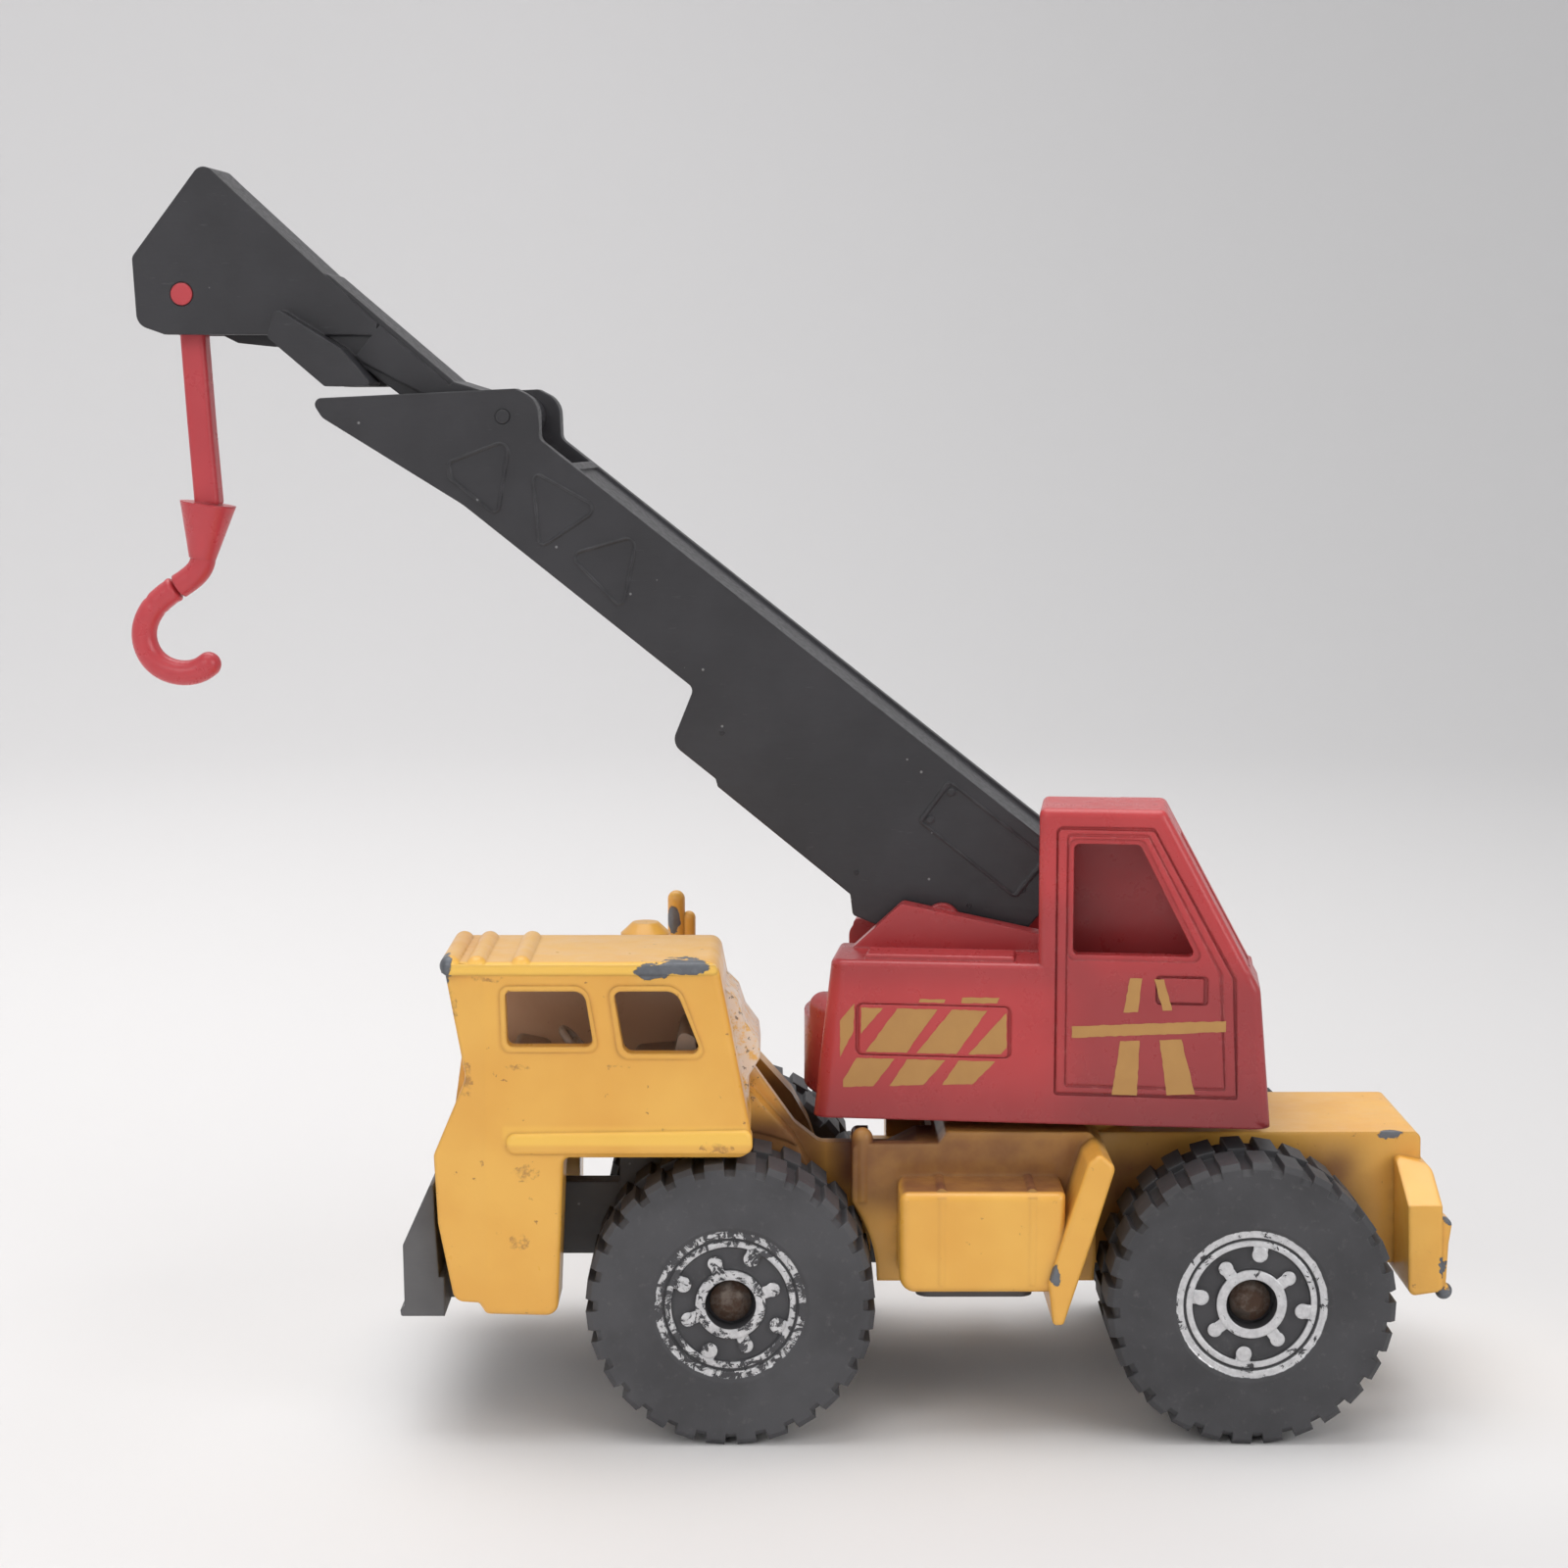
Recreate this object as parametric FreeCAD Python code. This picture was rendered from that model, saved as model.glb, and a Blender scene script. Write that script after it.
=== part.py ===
import FreeCAD, Part
import math
import os

# Pocket-size toy mobile crane: a four-wheeled carrier with a half-width driver's cab on its
# left side, a slewing crane house, a luffing main boom, a fold-over jib and a swinging hook.
# Units are millimetres. +Z is up, -X is the carrier's front, -Y is its left side.
# Everything is designed with the ground at Z = 0 and X = 0 midway between the two axles;
# the last step moves the whole crane so that the origin is the centre of its bounding box.

# ---- driving dimensions ----
WHEEL_R = 8.3
WHEEL_OUT = 14.0
WHEEL_IN = 7.1
AXLE_X = 14.92
AXLE_R = 0.8
AXLE_HEAD_R = 1.2
HUB_BORE_R = 0.86
HUB_HOLE_R = 1.46
RUNNING_GAP = 0.05

SPINE_HALF = 5.3
WAIST_HALF = 9.0
RIVET_X = (-18.2, 21.2)
DECK_Z = 16.3
SKIRT_Z = 8.3
CAB_OUT = -14.0
CAB_IN = -4.9
ROOF_Z = 28.2

SLEW_X = 3.6
SLEW_POST_R = 2.5
HOUSE_Z = 17.8
HOUSE_HALF = 9.25
HOUSE_TOP = 27.2
CRANE_CAB_TOP = 36.3
BOOM_Y = 0.9
BOOM_HALF = 3.85
PLATE = 0.9
LUFF_X = -5.55
LUFF_Z = 28.64
LUFF_STUB_R = 0.75
JIB_PIN_R = 0.42
JIB_HALF = 2.05
HOOK_PIN_R = 0.68
HOOK_THICK = 1.5

# pose of the movable parts as the crane stands
REST_SLEW = -7.0
REST_LUFF = 38.0
REST_JIB = 40.0

# Middle of the crane's bounding box in the design frame.
CENTRE_X = -12.73
CENTRE_Y = -0.15

X = FreeCAD.Vector(1, 0, 0)
Y = FreeCAD.Vector(0, 1, 0)
Z = FreeCAD.Vector(0, 0, 1)


def vec(x, y, z):
    return FreeCAD.Vector(x, y, z)


def box(x0, x1, y0, y1, z0, z1):
    return Part.makeBox(x1 - x0, y1 - y0, z1 - z0, vec(x0, y0, z0))


def rod(radius, start, end):
    run = end.sub(start)
    return Part.makeCylinder(radius, run.Length, start, run)


def tube(outer, inner, start, end):
    return rod(outer, start, end).cut(rod(inner, start, end))


def corner_wire(points):
    """Closed wire through flat points (x, z) or (x, z, radius), in the plane Y = 0."""
    count = len(points)
    spots = [vec(p[0], 0, p[1]) for p in points]
    radii = [p[2] if len(p) > 2 else 0.0 for p in points]
    edges = []
    starts = []
    ends = []
    mids = []
    for i in range(count):
        here = spots[i]
        back = spots[i - 1].sub(here)
        ahead = spots[(i + 1) % count].sub(here)
        back.normalize()
        ahead.normalize()
        if radii[i] <= 0:
            starts.append(here)
            ends.append(here)
            mids.append(None)
            continue
        half = back.getAngle(ahead) / 2
        reach = radii[i] / math.tan(half)
        centre_way = back.add(ahead)
        centre_way.normalize()
        centre = here.add(centre_way * (radii[i] / math.sin(half)))
        starts.append(here.add(back * reach))
        ends.append(here.add(ahead * reach))
        mids.append(centre.sub(centre_way * radii[i]))
    for i in range(count):
        if mids[i] is not None:
            edges.append(Part.Arc(starts[i], mids[i], ends[i]).toShape())
        after = starts[(i + 1) % count]
        if ends[i].sub(after).Length > 1e-5:
            edges.append(Part.makeLine(ends[i], after))
    return Part.Wire(edges)


def slab(points, y0, y1):
    """Outline in X and Z, made solid from y0 to y1."""
    face = Part.Face(corner_wire(points))
    face.translate(vec(0, y0, 0))
    return face.extrude(vec(0, y1 - y0, 0))


def plan(points, z0, z1):
    """Outline in X and Y, made solid from z0 to z1."""
    solid = slab(points, 0, z1 - z0)
    solid.rotate(vec(0, 0, 0), X, 90)
    solid.translate(vec(0, 0, z1))
    low = solid.BoundBox.ZMin
    solid.translate(vec(0, 0, z0 - low))
    return solid


def soften(solid, radius, test):
    """Round the edges whose two ends both pass the test."""
    return soften_edges(solid, radius, lambda a, b: test(a) and test(b))


def soften_edges(solid, radius, test):
    """Round the edges whose pair of ends passes the test."""
    edges = []
    for edge in solid.Edges:
        ends = edge.Vertexes
        if test(ends[0].Point, ends[-1].Point):
            edges.append(edge)
    return solid.makeFillet(radius, edges)


def join(shapes):
    whole = shapes[0]
    for shape in shapes[1:]:
        whole = whole.fuse(shape)
    return single(whole.removeSplitter())


def single(shape):
    """The one solid inside a boolean result."""
    return shape.Solids[0] if len(shape.Solids) == 1 else shape


def both_sides(solid):
    return [solid, solid.mirror(vec(0, 0, 0), Y)]


# ---- yellow carrier body ----

CAB_SIDE = [
    (-31.1, ROOF_Z, 0.6),
    (-29.9, 21.5, 1.2),
    (-31.8, 17.0, 0.7),
    (-31.6, 13.0, 0.8),
    (-30.7, 8.5, 0.7),
    (-29.3, 8.4, 0.2),
    (-28.9, 7.75, 0.4),
    (-24.8, 7.65, 0.7),
    (-24.4, 16.9, 0.4),
    (-13.8, 16.9, 0.7),
    (-13.75, 18.5, 0.8),
    (-15.6, ROOF_Z, 0.7),
]


SIDE_WINDOWS = [
    [(-27.6, 26.6, 0.3), (-23.1, 26.6, 0.7), (-22.6, 23.4, 0.4), (-27.5, 23.4, 0.4)],
    [(-21.5, 26.6, 0.4), (-17.9, 26.6, 0.9), (-16.5, 23.0, 0.4), (-20.9, 23.0, 0.6)],
]
WINDOW_RIMS = [
    [(-27.9, 26.9, 0.5), (-22.95, 26.9, 0.9), (-22.3, 23.1, 0.5), (-27.8, 23.1, 0.5)],
    [(-21.8, 26.9, 0.6), (-17.75, 26.9, 1.1), (-16.2, 22.7, 0.5), (-21.2, 22.7, 0.7)],
]


def cab_shell():
    top = slab(CAB_SIDE, CAB_OUT, CAB_IN)
    top = soften(top, 0.45, lambda p: abs(p.y - CAB_OUT) < 0.01)
    # the side leans in slightly towards the front corner
    turn = vec(-28.7, CAB_OUT - 0.01, 7)
    lean = Part.makePolygon([turn, vec(-33, -13.2, 7), vec(-33, -15, 7), turn])
    top = top.cut(Part.Face(lean).extrude(vec(0, 0, 22)))
    # The leg below the sill is narrower than the cab above it.
    top = top.cut(box(-30.2, -24.0, -10.4, CAB_IN + 1, 7, 16.9))
    top = top.cut(box(-32.0, -24.0, -10.4, CAB_IN + 1, 7, 10.7))
    inside = slab(
        [(-30.0, 27.2, 0.4), (-28.9, 21.4), (-30.6, 17.8), (-14.9, 17.8), (-16.5, 27.2, 0.4)],
        CAB_OUT + 0.95,
        CAB_IN - 0.8,
    )
    top = top.cut(inside)
    # rounded ledge under the doors and a gutter under the roof
    ledge = slab(
        [(-27.6, 17.2, 0.5), (-13.6, 17.2, 0.5), (-13.7, 18.6, 0.5), (-27.6, 18.4, 0.5)], -14.3, -13
    )
    ledge = soften(ledge, 0.25, lambda p: abs(p.y + 14.3) < 0.01)
    gutter = slab(
        [(-31.0, 27.55, 0.2), (-15.5, 27.55, 0.2), (-15.7, 28.1, 0.2), (-31.1, 28.1, 0.2)], -14.2, -13
    )
    parts = [top, ledge, gutter, rear_locker()]
    for x in (-30.7, -29.2, -26.7):
        rib = rod(0.6, vec(x, -13.5, 27.95), vec(x, CAB_IN - 0.6, 27.95))
        parts.append(rib.fuse(Part.makeSphere(0.6, vec(x, -13.5, 27.95))))
        # each rib runs down over the gutter
        parts.append(rod(0.5, vec(x, -13.62, 27.95), vec(x, -13.62, 27.6)))
    cab = join(parts)
    for opening in SIDE_WINDOWS:
        cab = cab.cut(slab(opening, -15, -12.5))
    # windscreen
    return cab.cut(box(-32, -28.5, -12.6, -6.3, 22.6, 26.8))


def rear_locker():
    """Bulging locker on the back of the cab."""
    side = [
        (-16.4, 27.1),
        (-15.3, 26.3, 0.3),
        (-14.5, 25.5, 0.4),
        (-14.1, 24.3, 0.4),
        (-13.3, 23.2, 0.5),
        (-13.2, 22.2, 0.4),
        (-13.9, 21.1, 0.5),
        (-13.8, 17.6),
        (-16.0, 17.6),
    ]
    locker = slab(side, -11.4, -5.6)
    room = [(-17, 26.2), (-15.6, 25.6), (-14.4, 22.6), (-15.0, 18.6), (-17, 18.6)]
    return locker.cut(slab(room, -10.8, -6.2))


def window_frames():
    """Thin raised rims round the two side windows."""
    rims = []
    for rim, opening in zip(WINDOW_RIMS, SIDE_WINDOWS):
        rims.append(slab(rim, -14.12, -13.5).cut(slab(opening, -15, -13)))
    return rims


def hood():
    """Low bonnet beside the cab, with the far wing and its leg."""
    wing = slab(
        [(-31.6, 16.9, 0.5), (-30.9, 21.8, 1.2), (-16.4, 22.6, 0.8), (-15.0, 16.9, 0.5)],
        CAB_IN - 0.1,
        10.5,
    )
    room = [(-30.4, 16.0), (-29.9, 20.9), (-17.3, 21.6), (-16.0, 16.0)]
    wing = wing.cut(slab(room, CAB_IN + 0.9, 9.6))
    shelf = slab(
        [(-31.7, 16.9, 0.4), (-31.3, 18.6, 0.5), (-15.0, 18.4, 0.5), (-15.0, 16.9, 0.4)], 10.2, 14.0
    )
    leg = slab(
        [(-31.7, 17.2), (-31.6, 13.0, 0.8), (-30.8, 8.6, 0.9), (-25.1, 7.8, 0.8), (-25.0, 17.2)], 10.4, 14.0
    )
    front = slab(
        [(-31.7, 17.2), (-31.6, 13.0, 0.4), (-31.2, 10.8), (-30.2, 10.8), (-30.2, 17.2)], -10.6, 10.6
    )
    grille = []
    for i in range(5):
        z = 13.1 + i * 0.8
        grille.append(rod(0.2, vec(-31.62, -8.6, z), vec(-31.62, 8.6, z)))
    stack = [
        rod(0.55, vec(-18.65, 8.6, 21.5), vec(-18.65, 8.6, 28.15)),
        Part.makeSphere(0.55, vec(-18.65, 8.6, 28.15)),
        rod(0.42, vec(-17.85, 8.6, 21.5), vec(-17.85, 8.6, 26.95)),
        Part.makeSphere(0.42, vec(-17.85, 8.6, 26.95)),
        box(-18.6, -17.8, 8.35, 8.85, 21.9, 26.4),
    ]
    cleaner = [
        rod(0.75, vec(-20.2, -1.2, 21.5), vec(-20.2, -1.2, 27.3)),
        rod(1.5, vec(-20.2, -1.2, 27.2), vec(-20.2, -1.2, 27.7)),
        Part.makeCone(1.5, 0.8, 0.65, vec(-20.2, -1.2, 27.7), Z),
    ]
    return [wing, shelf, leg, front] + grille + stack + cleaner


def spine():
    """Hollow chassis between the wheels, open underneath."""
    side = [
        (-20.6, SKIRT_Z),
        (-20.6, 17.4),
        (-15.6, 17.4),
        (-15.6, 21.2),
        (-13.9, 20.7, 0.4),
        (-11.2, 16.9, 1.0),
        (-9.7, 15.7, 0.8),
        (-7.5, 15.7),
        (-7.5, DECK_Z),
        (26.2, DECK_Z, 0.45),
        (26.35, SKIRT_Z, 0.3),
    ]
    beam = slab(side, -SPINE_HALF, SPINE_HALF)
    waist_side = [
        (-7.9, SKIRT_Z),
        (-7.8, 16.5, 0.4),
        (-2.8, 16.5, 0.2),
        (-2.3, 17.2, 0.3),
        (6.3, 17.2, 0.5),
        (6.5, SKIRT_Z),
    ]
    waist = slab(waist_side, -WAIST_HALF, WAIST_HALF)
    under = box(-19.6, 25.3, -SPINE_HALF + 1.0, SPINE_HALF - 1.0, SKIRT_Z - 1, 14.9)
    wide = box(-6.7, 5.4, -WAIST_HALF + 1.0, WAIST_HALF - 1.0, SKIRT_Z - 1, 14.9)
    # open well between the cab and the turntable; only the left wall rises beside it
    well = box(-14.8, -3.0, -SPINE_HALF + 1.0, 12.0, 12.6, 24.0)
    # thin left wall with a sloping shelf behind it
    shelf_side = [(-6.8, 12.6), (-6.8, 24.0), (-3.2, 24.0), (-3.2, 16.9), (-5.9, 15.5), (-5.9, 12.6)]
    shelf = slab(shelf_side, -8.0, -SPINE_HALF + 1.2)
    turntable = Part.makeCone(6.4, 5.4, HOUSE_Z - 0.06 - 15.0, vec(SLEW_X, 0, 15.0), Z)
    posts = []
    for x in RIVET_X:
        posts.append(rod(1.9, vec(x, 0, SKIRT_Z), vec(x, 0, 15.2)))
    whole = beam.fuse(waist).cut(under).cut(wide).cut(well).cut(shelf)
    return [whole, turntable] + posts


def side_fittings():
    """Boxes and mudguards on both sides, and a round-topped peg on the left wall."""
    tank = slab([(-5.2, 14.6, 0.5), (4.3, 14.6, 0.3), (4.3, 8.7, 0.4), (-5.2, 8.7, 0.9)], -13.0, -8.9)
    tank = soften(tank, 0.5, lambda p: abs(p.y + 13.0) < 0.01)
    for x in (-2.8, 2.4):
        tank = tank.fuse(rod(0.32, vec(x, -12.75, 9.2), vec(x, -12.75, 14.35)))
        tank = tank.fuse(rod(0.35, vec(x, -12.6, 14.4), vec(x, -9.0, 14.4)))
    guard_side = [
        (5.5, 16.4, 0.5),
        (6.2, 17.0, 0.4),
        (7.1, 16.2, 0.5),
        (5.9, 12.2, 2.0),
        (4.2, 6.9, 0.25),
        (3.6, 6.9, 0.25),
        (3.3, 9.4, 0.5),
    ]
    guard = slab(guard_side, -13.4, -5.0)
    guard = soften(guard, 0.25, lambda p: abs(p.y + 13.4) < 0.01)
    web_side = [
        (-15.4, 12.0),
        (-15.4, 20.0),
        (-13.9, 19.3, 0.6),
        (-11.3, 16.4, 0.8),
        (-10.3, 14.6, 0.6),
        (-9.4, 12.0),
    ]
    web = slab(web_side, -6.9, -4.6)
    peg = rod(0.62, vec(-7.25, -8.45, 13.0), vec(-7.25, -8.45, 16.75))
    peg = peg.fuse(Part.makeSphere(0.62, vec(-7.25, -8.45, 16.75)))
    parts = [peg]
    for solid in (tank, guard, web):
        parts += both_sides(solid)
    return parts


def tail():
    """Rear cross-beam with its lamp clusters."""
    beam = slab([(24.6, 15.0, 0.3), (26.6, 14.6, 0.5), (26.8, 7.8, 0.4), (24.8, 7.5, 0.4)], -9.6, 9.6)
    for side in (-1, 1):
        # sloping shoulders
        first = vec(20, side * 5.4, 15.2)
        corner = [first, vec(20, side * 12, 15.2), vec(20, side * 12, 11.6), first]
        beam = beam.cut(Part.Face(Part.makePolygon(corner)).extrude(vec(12, 0, 0)))
    lamp_side = [(26.2, 12.4, 0.3), (27.3, 12.0, 0.4), (27.1, 10.6, 0.8), (27.0, 8.0, 0.4), (26.2, 7.8)]
    lamp = slab(lamp_side, -9.4, -8.0)
    knob = Part.makeSphere(0.5, vec(26.95, -9.1, 7.7))
    return [beam] + both_sides(lamp) + both_sides(knob)


def truck_body():
    parts = [cab_shell()] + window_frames() + hood() + spine() + side_fittings() + tail()
    body = join(parts)
    # wheel arches, axle slots, turntable hole and rivet holes
    for x in (-AXLE_X, AXLE_X):
        body = body.cut(rod(AXLE_R + 0.03, vec(x, -7, WHEEL_R), vec(x, 7, WHEEL_R)))
        for s in (-1, 1):
            room = rod(WHEEL_R + 0.25, vec(x, s * 6.8, WHEEL_R), vec(x, s * 15, WHEEL_R))
            body = body.cut(room)
    body = body.cut(rod(SLEW_POST_R + RUNNING_GAP, vec(SLEW_X, 0, 7), vec(SLEW_X, 0, 20)))
    body = body.cut(rod(3.9, vec(SLEW_X, 0, 7), vec(SLEW_X, 0, 14.6)))
    for x in RIVET_X:
        body = body.cut(rod(0.82, vec(x, 0, 7), vec(x, 0, 13.2)))
    return body


# ---- black base and interior ----

def base_plate():
    """Black base: a low tray under each axle, a strip between them, bumper and front box."""
    front_tray = plan([(-21.8, 5.2, 0.6), (-8.9, 5.2, 0.6), (-8.9, -5.2, 0.6), (-21.8, -5.2, 0.6)], 6.7, 8.25)
    rear_tray = plan([(9.0, 5.2, 0.6), (24.0, 5.2, 0.6), (24.0, -5.2, 0.6), (9.0, -5.2, 0.6)], 6.7, 8.25)
    waist = plan([(-4.0, 7.8, 0.8), (2.9, 7.8, 0.8), (2.9, -7.8, 0.8), (-4.0, -7.8, 0.8)], 6.95, 8.25)
    strip = box(-10.0, 10.0, -4.2, 4.2, 8.0, 9.0)
    side = [
        (-32.15, 15.0, 0.1),
        (-33.75, 11.5, 0.3),
        (-33.7, 7.9),
        (-33.95, 7.65),
        (-33.9, 7.3, 0.1),
        (-32.9, 7.3),
        (-28.2, 7.3),
        (-28.2, 9.4),
        (-31.7, 9.6),
        (-31.9, 12.9),
        (-31.95, 15.0),
    ]
    bumper = slab(side, -12.6, 12.6)
    for y0, y1 in ((-13, -8.9), (8.9, 13)):
        bumper = bumper.cut(box(-31.4, -28, y0, y1, 7, 10))
    block = box(-29.3, -21.3, -5.6, 5.6, 9.0, 13.5)
    block = block.cut(box(-28.3, -22.2, -4.6, 4.6, 10.2, 14))
    lip = box(-25.0, -21.3, -6.0, 6.0, 9.4, 13.5).cut(box(-25.5, -22.2, -4.6, 4.6, 9, 14))
    # only the left wall of the front box stands full height
    low_side = box(-30.0, -21.0, -4.6, 6.5, 10.6, 14)
    block = block.cut(low_side)
    lip = lip.cut(low_side)
    # upright flanges beside the spine
    for y0, y1 in ((-6.2, -5.4), (5.4, 6.2)):
        lip = lip.fuse(box(-21.6, -18.4, y0, y1, 9.4, 16.2))
    # wall that drops from the front box to the tray, behind the front wheels
    drop = box(-22.2, -20.9, -5.2, 5.2, 7.8, 9.8)
    plate = join([bumper, block, lip, drop, front_tray, strip, rear_tray, waist])
    for x in (-AXLE_X, AXLE_X):
        plate = plate.cut(rod(AXLE_R + 0.03, vec(x, -7, WHEEL_R), vec(x, 7, WHEEL_R)))
    for x in RIVET_X:
        plate = plate.cut(rod(0.82, vec(x, 0, 6), vec(x, 0, 9)))
        plate = plate.cut(rod(1.65, vec(x, 0, 6), vec(x, 0, 7.25)))
    # shallow grooves under the trays
    for x in (-12.4, -10.6, 10.6, 12.4):
        plate = plate.cut(box(x - 0.4, x + 0.4, -4.0, 4.0, 6.5, 6.95))
    return plate


def cab_interior():
    tub = box(-27.8, -16.2, -12.9, -6.0, 17.85, 18.7)
    seat_side = [
        (-20.6, 18.5),
        (-20.6, 22.0, 0.5),
        (-18.2, 22.2),
        (-17.8, 24.0, 0.4),
        (-16.9, 23.6, 0.3),
        (-16.6, 18.5),
    ]
    seat = slab(seat_side, -12.4, -6.8)
    dash = slab([(-28.0, 18.5), (-27.6, 22.6, 0.4), (-25.6, 22.2, 0.5), (-25.2, 18.5)], -12.8, -6.2)
    column = rod(0.25, vec(-25.6, -10.6, 21.4), vec(-23.9, -10.6, 22.9))
    rim = Part.makeTorus(1.05, 0.22, vec(-23.9, -10.6, 22.9), vec(-1.7, 0, -1.5))
    spoke = rod(0.18, vec(-23.9, -11.65, 22.9), vec(-23.9, -9.55, 22.9))
    return join([tub, seat, dash, column, rim, spoke])


# ---- wheels, axles and rivets ----

def wheel(side, turned):
    """One-piece wheel with a lugged tread; side is -1 for the carrier's left, 1 for its right."""
    half = (WHEEL_OUT - WHEEL_IN) / 2
    tread = WHEEL_R - 0.42
    profile = [
        vec(HUB_BORE_R, -half, 0),
        vec(3.4, -half, 0),
        vec(3.4, -half + 0.5, 0),
        vec(4.4, -half + 0.5, 0),
        vec(4.9, -half, 0),
        vec(7.55, -half, 0),
        vec(tread, -half + 0.35, 0),
        vec(tread, half - 0.35, 0),
        vec(7.55, half, 0),
        vec(4.55, half, 0),
        vec(4.27, half - 0.15, 0),
        vec(3.94, half - 0.15, 0),
        vec(3.9, half - 0.3, 0),
        vec(3.78, half - 0.3, 0),
        vec(3.74, half - 0.2, 0),
        vec(3.42, half - 0.2, 0),
        vec(3.3, half - 0.45, 0),
        vec(2.1, half - 0.45, 0),
        vec(2.0, half - 0.2, 0),
        vec(HUB_HOLE_R, half - 0.2, 0),
        vec(HUB_HOLE_R, half - 1.5, 0),
        vec(HUB_BORE_R, half - 1.5, 0),
    ]
    ring = Part.makePolygon(profile + [profile[0]])
    solid = Part.Face(ring).revolve(vec(0, 0, 0), Y, 360)
    lugs = []
    rows = ((0.25, half, 0.0), (-half, -0.25, 0.5))
    count = 28
    for low, high, phase in rows:
        for i in range(count):
            turn = (i + phase) * 360.0 / count
            outer_end = high > 0
            shoulder = high if outer_end else low
            flank = -0.3 if outer_end else 0.3
            inner = low if outer_end else high
            outline = [
                vec(7.0, shoulder, 0),
                vec(7.95, shoulder, 0),
                vec(WHEEL_R - 0.02, shoulder + flank, 0),
                vec(WHEEL_R - 0.02, inner, 0),
                vec(7.0, inner, 0),
            ]
            face = Part.Face(Part.makePolygon(outline + [outline[0]]))
            face.translate(vec(0, 0, -0.56))
            lug = face.extrude(vec(0, 0, 1.12))
            lug.rotate(vec(0, 0, 0), Y, turn)
            lugs.append(lug)
    # four short spokes on the hub disc and four studs between them
    trim = []
    for i in range(4):
        spoke = box(1.7, 2.57, half - 0.6, half - 0.24, -0.35, 0.35)
        spoke = spoke.fuse(rod(0.42, vec(2.57, half - 0.6, 0), vec(2.57, half - 0.24, 0)))
        spoke.rotate(vec(0, 0, 0), Y, 52 + 90 * i)
        trim.append(spoke)
        stud = rod(0.45, vec(2.95, half - 0.6, 0), vec(2.95, half - 0.17, 0))
        stud = stud.fuse(box(2.95, 3.6, half - 0.6, half - 0.23, -0.42, 0.42))
        stud.rotate(vec(0, 0, 0), Y, 8 + 90 * i)
        trim.append(stud)
    solid = solid.fuse(lugs + trim)
    solid.rotate(vec(0, 0, 0), Y, turned)
    if side < 0:
        solid.rotate(vec(0, 0, 0), Z, 180)
    solid.translate(vec(0, side * (WHEEL_OUT + WHEEL_IN) / 2, WHEEL_R))
    return solid.removeSplitter()


def axle(x):
    shaft = rod(AXLE_R, vec(x, -12.8, WHEEL_R), vec(x, 12.8, WHEEL_R))
    heads = []
    for s in (-1, 1):
        heads.append(rod(AXLE_HEAD_R, vec(x, s * 12.58, WHEEL_R), vec(x, s * 12.95, WHEEL_R)))
        heads.append(Part.makeCone(AXLE_HEAD_R, 0.6, 0.3, vec(x, s * 12.95, WHEEL_R), vec(0, s, 0)))
    return join([shaft] + heads)


def rivet(x):
    head = Part.makeCone(1.1, 1.5, 0.3, vec(x, 0, 6.8), Z)
    shank = rod(0.8, vec(x, 0, 7.1), vec(x, 0, 13.0))
    return join([head, rod(1.5, vec(x, 0, 7.1), vec(x, 0, 7.23)), shank])


# ---- red crane house (drawn pointing along X, about the slew axis) ----

CRANE_CAB_SIDE = [
    (0.4, CRANE_CAB_TOP, 0.4),
    (7.6, CRANE_CAB_TOP, 0.5),
    (13.2, 25.9, 1.0),
    (13.9, HOUSE_Z, 0.3),
    (0.4, HOUSE_Z),
]


def house_block():
    engine = slab(
        [(-12.75, HOUSE_Z), (-11.7, HOUSE_TOP), (12.4, HOUSE_TOP), (13.2, 25.9), (13.9, HOUSE_Z)],
        -HOUSE_HALF,
        HOUSE_HALF,
    )
    engine = soften_edges(engine, 1.0, lambda a, b: abs(a.y - b.y) < 0.01 and abs(a.z - b.z) > 5)
    engine = soften(engine, 0.35, lambda p: p.z > HOUSE_TOP - 0.05)
    cab = slab(CRANE_CAB_SIDE, -HOUSE_HALF, -3.3)
    def outer_edge(a, b):
        at_side = a.y < -9.2 and b.y < -9.2
        return at_side and max(a.x, b.x) > 0.5 and max(a.z, b.z) > HOUSE_Z + 0.4

    cab = soften_edges(cab, 0.5, outer_edge)
    # rounded nose that bulges ahead of the flat side
    nose = rod(9.6, vec(-4.6, 0, 18.2), vec(-4.6, 0, 24.2))
    nose = soften(nose, 0.9, lambda p: p.z > 24.0)
    nose = nose.common(box(-20, -8, -8.6, 8.6, 18, 26))
    panel = box(-9.7, -1.0, -8.6, -6.2, 27.1, 27.5)
    panel = soften(panel, 0.15, lambda p: p.z > 27.4)
    # the right-hand cover behind the boom is lower than the engine part
    low_cover = slab([(5.8, 40), (5.8, 27.6), (7.4, 25.0, 0.8), (20, 24.4), (20, 40)], -3.3, 12)
    engine = engine.cut(low_cover)
    return join([engine, cab, nose, panel])


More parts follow.
